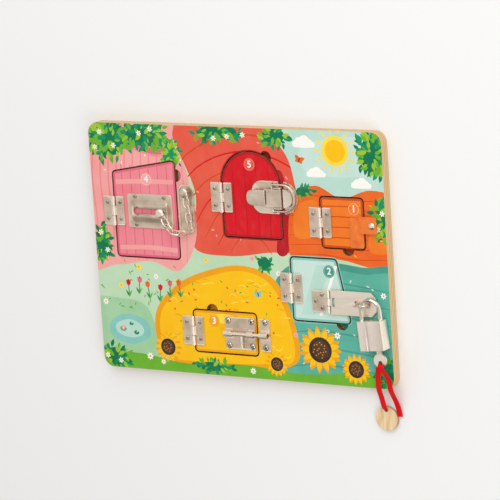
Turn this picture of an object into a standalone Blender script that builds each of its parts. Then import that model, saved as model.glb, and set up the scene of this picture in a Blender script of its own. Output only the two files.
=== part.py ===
"""Padlock board: a wooden activity board with five numbered doors, each held shut by another kind of lock.

The board lies on its back. +Z points out of its printed face, +Y to its top edge and +X to its right.
The origin is under the middle of the board, on the surface that it lies on. Lengths are in metres.
"""

import math

import bmesh
import bpy
from mathutils import Matrix, Vector

# Board and doors
board_width = 0.300
board_height = 0.225
board_corner_radius = 0.010
back_thickness = 0.004
front_thickness = 0.0057
seat_gap = 0.0003
kerf = 0.0012
notch_radius = 0.0058
overrun = 0.002
weld_distance = 0.00001
mitre_floor_share = 0.2
merge_distance = 0.00002

# Doors by their printed number: where the lower hinge-side corner lies from the board's middle,
# as shares of the board's width and height, and each door's own width and hinge-side height likewise
door_corner_shares = {
    1: (0.2873, 0.0422),
    2: (0.1767, -0.2533),
    3: (-0.1700, -0.4093),
    4: (-0.4233, -0.0400),
    5: (-0.0417, 0.0644),
}
door_width_shares = {1: 0.14333, 2: 0.19333, 3: 0.22000, 4: 0.22233, 5: 0.20000}
door_height_shares = {1: 0.20178, 2: 0.25333, 3: 0.17200, 4: 0.34489, 5: 0.20978}
door_2_top_inset_share = 0.2069
door_4_roof_rise_share = 0.15464
door_5_arch_rise_share = 0.63559
door_corner_radius = 0.0036
sharp_turn = math.radians(30)
door_open_angle = math.radians(110)

# Half-round finger notches in the panel: which edge of the door they touch, and where along it
notch_edges = {1: "bottom", 2: "bottom", 3: "top", 4: "right", 5: "arch"}
notch_edge_shares = {1: 0.60, 2: 0.84, 3: 0.31, 4: 0.85, 5: 0.685}

# Metal fittings in general
plate_thickness = 0.0010
plate_corner_radius = 0.0012
screw_head_radius = 0.0018
screw_crown_radius = 0.0012
screw_head_height = 0.0006
screw_slot_length = 0.0020
screw_slot_width = 0.0005
screw_slot_depth = 0.0004
running_gap = 0.0003

# Butt hinges, and the hasp's own hinge, which is the same kind
hinge_centre_shares = {1: 0.498, 2: 0.514, 3: 0.504, 4: 0.540, 5: 0.752}
hinge_leaf_width = 0.0108
hinge_leaf_height = 0.0265
hinge_screw_reach = 0.0068
hinge_screw_spacing = 0.0150
knuckle_radius = 0.0018
knuckle_gap = 0.0004
pin_radius = 0.0007
pin_overhang = 0.0006
leaf_inset = 0.0025
ear_inset = 0.0013
ear_overlap = 0.0008

# Door 1: a snap strap
pad_width = 0.0133
pad_height = 0.0268
pad_thickness = 0.0015
pad_corner_radius = 0.0012
pad_edge_margin = 0.0006
pad_centre_share = 0.330
tongue_overlap = 0.0040
tongue_reach = 0.0133
tongue_height = 0.0150
tongue_thickness = 0.0012
tongue_rise_share = 0.27
snap_cap_radius = 0.0028
snap_cap_height = 0.0012
snap_reach = 0.0090
stud_radius = 0.0042
stud_flange_height = 0.0008
stud_nub_radius = 0.0016
stud_nub_height = 0.0005

# Door 2: hasp, staple, padlock, key, ribbon and tag
hasp_centre_share = 0.335
hasp_hinge_share = 0.640
hasp_base_width = 0.0165
hasp_base_height = 0.0195
hasp_strap_length = 0.0475
hasp_strap_height = 0.0215
hasp_strap_chamfer = 0.0050
hasp_strap_lift = 0.0014
hasp_window_width = 0.0024
hasp_window_height = 0.0080
hasp_window_reach = 0.0032
hasp_slot_reach = 0.0342
hasp_slot_length = 0.0158
hasp_slot_width = 0.0056
hasp_screw_shares = ((0.42, 0.60), (0.80, 0.0), (0.42, -0.60))
staple_plate_share = 0.7
staple_wire_radius = 0.0011
staple_plate_margin = 0.0020
staple_side_clearance = 0.0010
staple_split_clearance = 0.0015
padlock_tilt = math.radians(5)
shackle_wire_radius = 0.0018
shackle_half_span = 0.0092
shackle_leg_offset = 0.0002
shackle_crown_drop = 0.0040
shackle_neck_length = 0.0124
shackle_insertion = 0.0080
case_width = 0.0240
case_height = 0.0260
case_thickness = 0.0126
case_corner_radius = 0.0015
case_edge_round = 0.0006
plug_radius = 0.0036
plug_depth = 0.0050
plug_proud = 0.0003
key_offset = 0.0037
key_thickness = 0.0016
key_bow_radius = 0.0062
key_neck_width = 0.0046
key_neck_length = 0.0034
key_blade_width = 0.0042
key_blade_length = 0.0040
key_hole_radius = 0.0022
key_hole_drop = 0.0024
key_neck_thickness_share = 0.98
key_blade_thickness_share = 0.90
tag_radius = 0.0108
tag_thickness = 0.0030
tag_hole_radius = 0.0020
tag_hole_margin = 0.0028
tag_place_shares = (0.4553, -0.6258)
ribbon_radius = 0.0010

# Door 3: a barrel bolt and its keeper
bolt_base_width = 0.0307
bolt_base_height = 0.0292
bolt_edge_margin = 0.0019
bolt_centre_share = 0.511
bolt_screw_margin = 0.0034
bolt_rod_radius = 0.0019
bolt_rod_length = 0.0340
bolt_band_wall = 0.0008
bolt_band_shares = ((0.016, 0.270), (0.788, 0.984))
bolt_foot_reach = 0.0046
bolt_foot_height = 0.0006
bolt_handle_radius = 0.0011
bolt_handle_length = 0.0128
bolt_handle_share = 0.573
keeper_width = 0.0104
keeper_height = 0.0296
keeper_distance = 0.0032
keeper_inset_share = 0.10

# Door 4: a chain, its slotted plate and its anchor
track_width_share = 0.70465
track_height = 0.0310
track_thickness = 0.0008
track_centre_shares = (0.573, 0.550)
track_raise_width_share = 0.80851
track_raise_height = 0.0200
track_raise = 0.0016
track_slot_radius = 0.0026
track_keyhole_radius = 0.0038
track_slot_length_share = 0.72368
track_slot_margin = 0.0045
track_screw_share = 0.65
knob_neck_radius = 0.0011
knob_foot_radius = 0.0032
knob_foot_height = 0.0008
knob_head_radius = 0.0040
knob_head_height = 0.0018
knob_crown_share = 0.7
anchor_width = 0.0158
anchor_height = 0.0446
anchor_distance = 0.0106
anchor_rise_share = 0.600
anchor_rim_width = 0.0012
anchor_rim_height = 0.0006
anchor_rim_inset_share = 0.10
rivet_neck_radius = 0.0012
rivet_head_radius = 0.0043
rivet_head_height = 0.0018
rivet_margin = 0.0068
rivet_offset = 0.0014
link_wire_radius = 0.00075
link_half_width = 0.0026
link_length = 0.0087
link_gap = 0.00035
tail_links = 5
door_links = 5
tail_drift = 0.0010
link_flat_roll = math.radians(18)
link_steep_roll = math.radians(-65)
door_link_bearings = [math.radians(a) for a in (-66, -62, -48, -12, 2)]

# Door 5: a toggle latch and its catch
latch_centre_share = 0.795
latch_base_width = 0.0271
latch_base_height = 0.0290
latch_base_round = 0.0100
latch_edge_margin = 0.0012
latch_pivot_reach = 0.0015
latch_pivot_height = 0.0036
latch_ear_back = 0.0060
latch_ear_front = 0.0018
latch_ear_thickness = 0.0008
latch_ear_cap = 0.0020
latch_pin_radius = 0.0009
latch_pin_overhang = 0.0003
latch_barrel_radius = 0.0019
latch_screw_shares = (0.816, 0.84)
lever_half_height = 0.0080
lever_tab_half_height = 0.0068
lever_length = 0.0328
lever_overhang = 0.0019
lever_tab_length = 0.0184
lever_tab_overlap = 0.0020
lever_tab_rise = 0.0006
lever_tab_round_share = 0.8
lever_thickness = 0.0012
lever_lift = 0.0010
loop_crank = 0.0080
loop_barrel_radius = 0.0017
loop_wire_radius = 0.0010
loop_half_height = 0.0118
loop_end_inset = 0.0042
catch_width = 0.0134
catch_height = 0.0290
catch_distance = 0.0041
catch_gap = 0.0004
catch_screw_shares = (0.187, 0.83)
hook_inset = 0.0009
hook_length = 0.0091
hook_half_height = 0.0083
hook_height = 0.0050

# How finely round shapes are drawn
corner_steps = 6
arch_steps = 28
small_sides = 16
round_sides = 32
wire_resolution = 2

# Worked out from the sizes above
door_widths = {number: share * board_width for number, share in door_width_shares.items()}
door_heights = {number: share * board_height for number, share in door_height_shares.items()}
door_2_top_inset = door_2_top_inset_share * door_widths[2]
door_4_roof_rise = door_4_roof_rise_share * door_heights[4]
door_5_arch_rise = door_5_arch_rise_share * door_heights[5]
board_bottom = 0.0
front_bottom = back_thickness + seat_gap
front_top = front_bottom + front_thickness
plate_bottom = front_top + seat_gap
plate_top = plate_bottom + plate_thickness
hinge_axis_height = plate_bottom + knuckle_radius

colours = {
    "ply": ((0.76, 0.58, 0.36), 0.65, 0.0),
    "mint": ((0.56, 0.75, 0.48), 0.5, 0.0),
    "orange": ((0.88, 0.20, 0.03), 0.5, 0.0),
    "pale_mint": ((0.62, 0.80, 0.70), 0.5, 0.0),
    "yellow": ((1.0, 0.50, 0.01), 0.5, 0.0),
    "pink": ((0.90, 0.30, 0.31), 0.5, 0.0),
    "red": ((0.70, 0.02, 0.03), 0.5, 0.0),
    "nickel": ((0.62, 0.54, 0.45), 0.35, 1.0),
    "bright": ((0.80, 0.76, 0.73), 0.25, 1.0),
    "tag_wood": ((0.84, 0.60, 0.33), 0.6, 0.0),
    "ribbon": ((0.75, 0.01, 0.01), 0.7, 0.0),
}
door_colours = {1: "orange", 2: "pale_mint", 3: "yellow", 4: "pink", 5: "red"}

for old in list(bpy.data.objects):
    bpy.data.objects.remove(old, do_unlink=True)

parts = bpy.data.collections.new("padlock_board")
cutters = bpy.data.collections.new("padlock_board_cutters")
bpy.context.scene.collection.children.link(parts)
bpy.context.scene.collection.children.link(cutters)
carrier_places = {}


# Solids

def box(low, high):
    """A box between two corners, to be added to a mesh."""
    low, high = Vector(low), Vector(high)
    matrix = Matrix.Translation((low + high) / 2) @ Matrix.Diagonal((high - low).to_4d())
    matrix[3][3] = 1
    return lambda mesh: bmesh.ops.create_cube(mesh, size=1, matrix=matrix)


def rod(start, end, radius, end_radius=None, sides=small_sides):
    """A cylinder, or a cone's stump, from one point to another, to be added to a mesh."""
    start, end = Vector(start), Vector(end)
    along = end - start
    turn = Vector((0, 0, 1)).rotation_difference(along.normalized()).to_matrix().to_4x4()
    matrix = Matrix.Translation((start + end) / 2) @ turn
    return lambda mesh: bmesh.ops.create_cone(
        mesh, cap_ends=True, segments=sides, radius1=radius,
        radius2=radius if end_radius is None else end_radius, depth=along.length, matrix=matrix,
    )


def paint(piece, kind):
    colour, roughness, metallic = colours[kind]
    material = bpy.data.materials.new(piece.name)
    material.use_nodes = True
    shader = material.node_tree.nodes["Principled BSDF"]
    shader.inputs["Base Color"].default_value = (*colour, 1)
    shader.inputs["Roughness"].default_value = roughness
    shader.inputs["Metallic"].default_value = metallic
    piece.data.materials.clear()
    piece.data.materials.append(material)


def store(name, mesh, kind):
    """Links a mesh as a painted piece, or as a cutter where it has no kind."""
    piece = bpy.data.objects.new(name, mesh)
    if kind:
        parts.objects.link(piece)
        paint(piece, kind)
        mesh.shade_smooth()
        mesh.set_sharp_from_angle(angle=math.radians(30))
    else:
        cutters.objects.link(piece)
        piece.hide_render = True
        piece.display_type = "WIRE"
    return piece


def solid(name, shapes, kind=None, matrix=Matrix()):
    mesh = bpy.data.meshes.new(name)
    builder = bmesh.new()
    for add in shapes:
        add(builder)
    builder.to_mesh(mesh)
    builder.free()
    piece = store(name, mesh, kind)
    piece.matrix_basis = matrix
    return piece


def from_curve(curve, kind, matrix):
    """Makes a curve a closed mesh, with its caps welded on."""
    source = bpy.data.objects.new(curve.name, curve)
    parts.objects.link(source)
    bpy.context.view_layer.update()
    mesh = bpy.data.meshes.new_from_object(source.evaluated_get(bpy.context.evaluated_depsgraph_get()))
    bpy.data.objects.remove(source, do_unlink=True)
    builder = bmesh.new()
    builder.from_mesh(mesh)
    bmesh.ops.remove_doubles(builder, verts=builder.verts, dist=weld_distance)
    bmesh.ops.recalc_face_normals(builder, faces=builder.faces)
    builder.to_mesh(mesh)
    builder.free()
    piece = store(curve.name, mesh, kind)
    piece.matrix_basis = matrix
    return piece


def plate(name, outlines, bottom, top, kind=None, matrix=Matrix()):
    """A flat piece between two heights; outlines after the first are holes."""
    curve = bpy.data.curves.new(name, "CURVE")
    curve.dimensions = "2D"
    curve.fill_mode = "BOTH"
    curve.extrude = (top - bottom) / 2
    for outline in outlines:
        spline = curve.splines.new("POLY")
        spline.points.add(len(outline) - 1)
        for point, (x, y) in zip(spline.points, outline):
            point.co = (x, y, 0, 1)
        spline.use_cyclic_u = True
    return from_curve(curve, kind, matrix @ Matrix.Translation((0, 0, (bottom + top) / 2)))


def wire(name, points, radius, kind, closed=False, matrix=Matrix()):
    """A round wire through the given points."""
    curve = bpy.data.curves.new(name, "CURVE")
    curve.dimensions = "3D"
    curve.bevel_depth = radius
    curve.bevel_resolution = wire_resolution
    curve.use_fill_caps = not closed
    spline = curve.splines.new("POLY")
    spline.points.add(len(points) - 1)
    for point, place in zip(spline.points, points):
        point.co = (*place, 1)
    spline.use_cyclic_u = closed
    return from_curve(curve, kind, matrix)


def turned(name, profile, place, kind, sides=round_sides):
    """A turned piece from a profile of (radius, height), from its top down its outer side."""
    mesh = bpy.data.meshes.new(name)
    points = [(radius, 0, height) for radius, height in profile]
    mesh.from_pydata(points, [(n, n + 1) for n in range(len(points) - 1)], [])
    piece = store(name, mesh, kind)
    piece.location = place
    screw = piece.modifiers.new("turn", "SCREW")
    screw.steps = sides
    screw.render_steps = sides
    screw.use_merge_vertices = True
    screw.merge_threshold = merge_distance
    return piece


def combine(piece, operation, tool, name=None):
    """A Boolean of a piece with a ready cutter, or with a list of shapes under a name of their own."""
    if isinstance(tool, list):
        tool = solid(f"{piece.name}_{name}", tool)
    step = piece.modifiers.new(tool.name, "BOOLEAN")
    step.operation = operation
    step.object = tool


# Outlines

def rounded_outline(left, bottom, right, top, radius, left_radius=None):
    """A rectangle with round corners, anticlockwise; it has round ends where the radius is half its width."""
    outline = []
    other = radius if left_radius is None else left_radius
    corners = [(right - radius, top - radius, radius), (left + other, top - other, other),
               (left + other, bottom + other, other), (right - radius, bottom + radius, radius)]
    for quarter, (x, y, radius) in enumerate(corners):
        for step in range(corner_steps + 1):
            angle = (quarter + step / corner_steps) * math.pi / 2
            point = Vector((x + radius * math.cos(angle), y + radius * math.sin(angle)))
            if not outline or (point - Vector(outline[-1])).length > merge_distance:
                outline.append(tuple(point))
    if (Vector(outline[0]) - Vector(outline[-1])).length <= merge_distance:
        outline.pop()
    return outline


def grown(outline, distance):
    """The outline, which runs anticlockwise, moved outwards by a distance with mitred corners."""
    count = len(outline)
    moved = []
    for n in range(count):
        before = Vector(outline[n - 1])
        here = Vector(outline[n])
        after = Vector(outline[(n + 1) % count])
        first = (here - before).normalized()
        second = (after - here).normalized()
        normal = Vector((first.y, -first.x)) + Vector((second.y, -second.x))
        reach = distance / max(normal.length / 2, mitre_floor_share)
        moved.append(tuple(here + normal.normalized() * reach))
    return moved


def door_corner(number):
    across, up = door_corner_shares[number]
    return Vector((across * board_width, up * board_height))


def softened(outline, radius):
    """The outline, which runs anticlockwise, with its sharp corners made round."""
    count = len(outline)
    points = []
    for n in range(count):
        here = Vector(outline[n])
        before = (Vector(outline[n - 1]) - here).normalized()
        after = (Vector(outline[(n + 1) % count]) - here).normalized()
        turn = math.pi - before.angle(after)
        if turn < sharp_turn:
            points.append(tuple(here))
            continue
        middle = (before + after).normalized()
        centre = here + middle * radius / math.cos(turn / 2)
        start = here + before * radius * math.tan(turn / 2) - centre
        for step in range(corner_steps + 1):
            angle = turn * step / corner_steps
            points.append(tuple(centre + Matrix.Rotation(angle, 2) @ start))
    return points


def door_outline(number):
    """The line that a door is cut along, anticlockwise from near its lower hinge-side corner."""
    return softened(door_shape(number), door_corner_radius)


def door_shape(number):
    """A door's shape before its corners are made round, anticlockwise from its lower hinge-side corner."""
    left, bottom = door_corner(number)
    right = left + door_widths[number]
    top = bottom + door_heights[number]
    if number == 2:
        return [(left, bottom), (right, bottom), (right - door_2_top_inset, top), (left, top)]
    if number == 4:
        return [(left, bottom), (right, bottom), (right, top + door_4_roof_rise), (left, top)]
    if number == 5:
        middle = (left + right) / 2
        outline = [(left, bottom), (right, bottom)]
        for step in range(arch_steps + 1):
            angle = math.pi * step / arch_steps
            outline.append((middle + door_widths[5] / 2 * math.cos(angle),
                            top + door_5_arch_rise * math.sin(angle)))
        return outline
    return [(left, bottom), (right, bottom), (right, top), (left, top)]


def notch_centre(number):
    left, bottom = door_corner(number)
    share = notch_edge_shares[number]
    width, height = door_widths[number], door_heights[number]
    edge = notch_edges[number]
    if edge == "bottom":
        return left + share * width, bottom
    if edge == "top":
        return left + share * width, bottom + height
    if edge == "right":
        return left + width, bottom + share * (height + door_4_roof_rise)
    angle = math.pi * (1 - share)
    return (left + width / 2 + width / 2 * math.cos(angle),
            bottom + height + door_5_arch_rise * math.sin(angle))


def door_right_edge(number, height):
    """Where a door's free edge lies at a height on the board."""
    left, bottom = door_corner(number)
    right = left + door_widths[number]
    if number == 2:
        return right - door_2_top_inset * (height - bottom) / door_heights[number]
    return right


# Moving groups

def carrier(name, place, parent=None):
    """An empty on a joint's axis, which carries what moves on that joint."""
    empty = bpy.data.objects.new(name, None)
    parts.objects.link(empty)
    empty.empty_display_size = knuckle_radius
    empty.location = place
    carrier_places[name] = Vector(place)
    if parent:
        attach(parent, empty)
    return empty


def attach(holder, *pieces):
    for piece in pieces:
        piece.parent = holder
        piece.matrix_parent_inverse = Matrix.Translation(-carrier_places[holder.name])


# Fittings that repeat

def add_screws(piece, spots, top):
    """Cross-slotted screw heads standing on a plate, one at each spot."""
    seat = top - plate_thickness / 2
    crown = top + screw_head_height
    heads = [rod((x, y, seat), (x, y, crown), screw_head_radius, screw_crown_radius, small_sides)
             for x, y in spots]
    combine(piece, "UNION", heads, "heads")
    long, wide = screw_slot_length / 2, screw_slot_width / 2
    floor, sky = crown - screw_slot_depth, crown + overrun
    for reach_x, reach_y, name in ((long, wide, "slots_across"), (wide, long, "slots_along")):
        slots = [box((x - reach_x, y - reach_y, floor), (x + reach_x, y + reach_y, sky)) for x, y in spots]
        combine(piece, "DIFFERENCE", slots, name)


def knuckle_spans(centre, height, middle):
    """The stretches of a hinge's barrel that belong to one leaf: its middle third, or the two ends."""
    third = height / 3
    low = centre - height / 2
    if middle:
        return [(low + third + knuckle_gap / 2, low + 2 * third - knuckle_gap / 2)]
    return [(low, low + third - knuckle_gap / 2), (low + 2 * third + knuckle_gap / 2, low + height)]


def add_knuckles(leaf, axis_x, side, spans, bottom, top):
    """Joins a leaf to its knuckles and bores them."""
    inner = axis_x + side * ear_inset
    outer = axis_x + side * (leaf_inset + ear_overlap)
    ears = [box((min(inner, outer), low, bottom), (max(inner, outer), high, top)) for low, high in spans]
    combine(leaf, "UNION", ears, "ears")
    barrels = [rod((axis_x, low, hinge_axis_height), (axis_x, high, hinge_axis_height), knuckle_radius)
               for low, high in spans]
    combine(leaf, "UNION", barrels, "barrels")
    start, end = spans[0][0] - overrun, spans[-1][1] + overrun
    bore = [rod((axis_x, start, hinge_axis_height), (axis_x, end, hinge_axis_height),
                pin_radius + running_gap)]
    combine(leaf, "DIFFERENCE", bore, "bore")


def hinge_leaf(name, axis_x, centre_y, side, width, height, spots):
    near = axis_x + side * leaf_inset
    far = axis_x + side * width
    outline = rounded_outline(min(near, far), centre_y - height / 2, max(near, far), centre_y + height / 2,
                              plate_corner_radius)
    leaf = plate(name, [outline], plate_bottom, plate_top, "nickel")
    add_knuckles(leaf, axis_x, side, knuckle_spans(centre_y, height, side > 0), plate_bottom, plate_top)
    add_screws(leaf, spots, plate_top)
    return leaf


def hinge_pin(name, axis_x, centre_y, height):
    reach = height / 2 + pin_overhang
    start = (axis_x, centre_y - reach, hinge_axis_height)
    return solid(name, [rod(start, (axis_x, centre_y + reach, hinge_axis_height), pin_radius)], "nickel")


def butt_hinge(number, door_carrier):
    axis_x = door_corner(number).x
    centre_y = door_corner(number).y + hinge_centre_shares[number] * door_heights[number]
    leaves = {}
    for side, word in ((-1, "frame"), (1, "door")):
        x = axis_x + side * hinge_screw_reach
        spots = [(x, centre_y + up * hinge_screw_spacing / 2) for up in (-1, 1)]
        leaves[word] = hinge_leaf(f"hinge_{number}_{word}_leaf", axis_x, centre_y, side, hinge_leaf_width,
                                  hinge_leaf_height, spots)
    hinge_pin(f"hinge_{number}_pin", axis_x, centre_y, hinge_leaf_height)
    attach(door_carrier, leaves["door"])


# The board

def board():
    half_width, half_height = board_width / 2, board_height / 2
    outline = rounded_outline(-half_width, -half_height, half_width, half_height, board_corner_radius)
    plate("back_panel", [outline], board_bottom, back_thickness, "ply")
    openings = [grown(door_outline(number), kerf / 2) for number in door_widths]
    panel = plate("front_panel", [outline, *openings], front_bottom, front_top, "mint")
    notches = []
    for number in door_widths:
        x, y = notch_centre(number)
        notches.append(rod((x, y, front_bottom - overrun), (x, y, front_top + overrun), notch_radius,
                           sides=round_sides))
    combine(panel, "DIFFERENCE", notches, "notches")


def door(number):
    hinge_y = door_corner(number).y + hinge_centre_shares[number] * door_heights[number]
    holder = carrier(f"door_{number}_axis", (door_corner(number).x, hinge_y, hinge_axis_height))
    leaf = plate(f"door_{number}", [grown(door_outline(number), -kerf / 2)], front_bottom, front_top,
                 door_colours[number])
    attach(holder, leaf)
    butt_hinge(number, holder)
    return holder


# Door 1: snap strap

def snap_strap(holder):
    edge = door_right_edge(1, 0)
    centre_y = door_corner(1).y + pad_centre_share * door_heights[1]
    right = edge - pad_edge_margin
    outline = rounded_outline(right - pad_width, centre_y - pad_height / 2, right, centre_y + pad_height / 2,
                              pad_corner_radius)
    pad_top = plate_bottom + pad_thickness
    pad = plate("strap_pad", [outline], plate_bottom, pad_top, "orange")
    tongue_bottom = pad_top + seat_gap
    tongue_top = tongue_bottom + tongue_thickness
    tongue_y = centre_y + tongue_rise_share * pad_height
    root = edge - tongue_overlap
    axis = carrier("strap_tongue_axis", (root, tongue_y, (tongue_bottom + tongue_top) / 2), holder)
    outline = rounded_outline(root, tongue_y - tongue_height / 2, edge + tongue_reach,
                              tongue_y + tongue_height / 2, pad_corner_radius)
    tongue = plate("strap_tongue", [outline], tongue_bottom, tongue_top, "orange")
    snap_x = edge + snap_reach
    crown = snap_cap_height
    cap = turned("snap_cap", [(0, crown), (snap_cap_radius / 2, crown), (snap_cap_radius, crown / 3),
                              (snap_cap_radius, 0), (0, 0)],
                 (snap_x, tongue_y, tongue_top + seat_gap), "bright")
    nub_top = stud_flange_height + stud_nub_height
    turned("snap_stud", [(0, nub_top), (stud_nub_radius, nub_top), (stud_nub_radius, stud_flange_height),
                         (stud_radius, stud_flange_height), (stud_radius, 0), (0, 0)],
           (snap_x, tongue_y, plate_bottom), "bright")
    attach(holder, pad)
    attach(axis, tongue, cap)


# Door 2: hasp and padlock

hasp_y = door_corner(2).y + hasp_centre_share * door_heights[2]
hasp_axis_x = door_corner(2).x + hasp_hinge_share * door_widths[2]
strap_bottom = front_top + hasp_strap_lift
strap_top = strap_bottom + plate_thickness
slot_x = hasp_axis_x + hasp_slot_reach
padlock_height = front_top + seat_gap + case_thickness / 2
shackle_x = slot_x + shackle_half_span - shackle_leg_offset
padlock_frame = (Matrix.Translation((shackle_x, hasp_y, padlock_height))
                 @ Matrix.Rotation(padlock_tilt, 4, "Z"))
crown_top = shackle_half_span - shackle_crown_drop
case_top = -shackle_neck_length
case_bottom = case_top - case_height


def hasp(holder):
    top = hasp_base_height / 2
    spots = [(hasp_axis_x - hasp_base_width * across, hasp_y + top * up)
             for across, up in hasp_screw_shares]
    base = hinge_leaf("hasp_base", hasp_axis_x, hasp_y, -1, hasp_base_width, hasp_base_height, spots)
    pin = hinge_pin("hasp_pin", hasp_axis_x, hasp_y, hasp_base_height)
    attach(holder, base, pin)
    axis = carrier("hasp_strap_axis", (hasp_axis_x, hasp_y, hinge_axis_height), holder)
    near = hasp_axis_x + leaf_inset
    far = hasp_axis_x + hasp_strap_length
    low, high = hasp_y - hasp_strap_height / 2, hasp_y + hasp_strap_height / 2
    outline = [(near, low), (far - hasp_strap_chamfer, low), (far, low + hasp_strap_chamfer),
               (far, high - hasp_strap_chamfer), (far - hasp_strap_chamfer, high), (near, high)]
    window_x = hasp_axis_x + hasp_window_reach + ear_overlap
    window = rounded_outline(window_x, hasp_y - hasp_window_height / 2, window_x + hasp_window_width,
                             hasp_y + hasp_window_height / 2, plate_corner_radius / 2)
    slot = rounded_outline(slot_x - hasp_slot_length / 2, hasp_y - hasp_slot_width / 2,
                           slot_x + hasp_slot_length / 2, hasp_y + hasp_slot_width / 2, plate_corner_radius)
    strap = plate("hasp_strap", [outline, window, slot], strap_bottom, strap_top, "nickel")
    add_knuckles(strap, hasp_axis_x, 1, knuckle_spans(hasp_y, hasp_base_height, True), strap_bottom,
                 strap_top)
    attach(axis, strap)
    return axis


def staple():
    """A wire eye on a small plate; its top is split where the padlock's leg passes."""
    half_span = hasp_slot_length / 2 - staple_side_clearance - staple_wire_radius
    base_reach = half_span + staple_wire_radius + staple_plate_margin
    half_depth = hasp_slot_width / 2 + staple_plate_margin
    base_top = plate_bottom + plate_thickness * staple_plate_share
    outline = rounded_outline(slot_x - base_reach, hasp_y - half_depth, slot_x + base_reach,
                              hasp_y + half_depth,
                              plate_corner_radius)
    base = plate("staple", [outline], plate_bottom, base_top, "nickel")
    eye_top = padlock_height + shackle_wire_radius + running_gap + staple_wire_radius
    bend = staple_wire_radius * 2
    foot = (plate_bottom + base_top) / 2
    split = shackle_wire_radius + staple_split_clearance
    for side, word in ((-1, "left"), (1, "right")):
        leg_x = slot_x + side * half_span
        points = [(leg_x, hasp_y, foot), (leg_x, hasp_y, eye_top - bend)]
        for step in range(1, corner_steps + 1):
            angle = math.pi / 2 * step / corner_steps
            points.append((leg_x - side * bend * (1 - math.cos(angle)), hasp_y,
                           eye_top - bend + bend * math.sin(angle)))
        points.append((slot_x + side * split, hasp_y, eye_top))
        arm = wire(f"staple_{word}_arm", points, staple_wire_radius, None)
        combine(base, "UNION", arm)


def arc(centre_x, centre_y, radius, start, end, steps):
    return [(centre_x + radius * math.cos(start + (end - start) * n / steps),
             centre_y + radius * math.sin(start + (end - start) * n / steps), 0) for n in range(steps + 1)]


def padlock(strap_axis):
    crown_place = padlock_frame @ Vector((0, crown_top, 0))
    shackle_axis = carrier("shackle_axis", crown_place, strap_axis)
    leg_end = case_top - shackle_insertion
    points = [(-shackle_half_span, leg_end, 0),
              *reversed(arc(0, -shackle_crown_drop, shackle_half_span, 0, math.pi, 2 * corner_steps + 4)),
              (shackle_half_span, leg_end, 0)]
    shackle = wire("shackle", points, shackle_wire_radius, "bright", matrix=padlock_frame)
    attach(shackle_axis, shackle)

    case_axis = carrier("padlock_case_slide", padlock_frame @ Vector((0, case_top, 0)), shackle_axis)
    upright = padlock_frame @ Matrix.Rotation(math.pi / 2, 4, "X")
    outline = rounded_outline(-case_width / 2, -case_thickness / 2, case_width / 2, case_thickness / 2,
                              case_corner_radius)
    case = plate("padlock_case", [outline], -case_top, -case_bottom, "bright", matrix=upright)
    bore = shackle_wire_radius + running_gap
    bores = [rod((side * shackle_half_span, case_top + overrun, 0),
                 (side * shackle_half_span, leg_end - seat_gap, 0), bore) for side in (-1, 1)]
    combine(case, "DIFFERENCE", solid("padlock_case_bores", bores, matrix=padlock_frame))
    seat = rod((key_offset, case_bottom - overrun, 0), (key_offset, case_bottom + plug_depth, 0),
               plug_radius + running_gap, sides=round_sides)
    combine(case, "DIFFERENCE", solid("padlock_case_plug_seat", [seat], matrix=padlock_frame))
    attach(case_axis, case)

    key_axis = carrier("key_axis", padlock_frame @ Vector((key_offset, case_bottom, 0)), case_axis)
    plug_face = case_bottom - plug_proud
    plug = solid("lock_plug", [rod((key_offset, case_bottom + plug_depth - seat_gap, 0),
                                   (key_offset, plug_face, 0),
                                   plug_radius, sides=round_sides)], "nickel", padlock_frame)
    slot_reach = key_blade_width / 2 + running_gap
    slot_half = key_thickness / 2 + running_gap
    keyway = box((key_offset - slot_reach, plug_face - overrun, -slot_half),
                 (key_offset + slot_reach, plug_face + key_blade_length + seat_gap, slot_half))
    combine(plug, "DIFFERENCE", solid("lock_plug_keyway", [keyway], matrix=padlock_frame))
    attach(key_axis, plug, key())
    return case_axis


key_bow_y = case_bottom - key_neck_length - key_bow_radius
key_hole_y = key_bow_y - key_hole_drop


def key():
    half = key_thickness / 2
    bow = [(key_offset + x, key_bow_y + y) for x, y, _ in
           arc(0, 0, key_bow_radius, 0, 2 * math.pi * (round_sides - 1) / round_sides, round_sides - 1)]
    hole = [(key_offset + x, key_hole_y + y) for x, y, _ in
            arc(0, 0, key_hole_radius, 0, 2 * math.pi * (small_sides - 1) / small_sides, small_sides - 1)]
    piece = plate("key", [bow, hole], -half, half, "nickel", padlock_frame)
    neck_half = key_neck_width / 2
    shoulder = case_bottom - plug_proud - seat_gap
    neck_z, blade_z = half * key_neck_thickness_share, half * key_blade_thickness_share
    neck = solid("key_neck", [box((key_offset - neck_half, key_bow_y + key_bow_radius / 2, -neck_z),
                                  (key_offset + neck_half, shoulder, neck_z))], matrix=padlock_frame)
    combine(piece, "UNION", neck)
    blade_half = key_blade_width / 2
    blade = solid("key_blade", [box((key_offset - blade_half, shoulder - overrun, -blade_z),
                                    (key_offset + blade_half, shoulder + key_blade_length, blade_z))],
                  matrix=padlock_frame)
    combine(piece, "UNION", blade)
    return piece


def smooth_route(route, steps):
    """Points along a smooth curve through the route's own points."""
    places = [Vector(point) for point in route]
    places = [2 * places[0] - places[1], *places, 2 * places[-1] - places[-2]]
    points = []
    for n in range(1, len(places) - 2):
        before, start, end, after = places[n - 1:n + 3]
        for step in range(steps):
            t = step / steps
            points.append((2 * start + (end - before) * t
                           + (2 * before - 5 * start + 4 * end - after) * t ** 2
                           + (3 * start - before - 3 * end + after) * t ** 3) / 2)
    return [*points, places[-2]]


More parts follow.
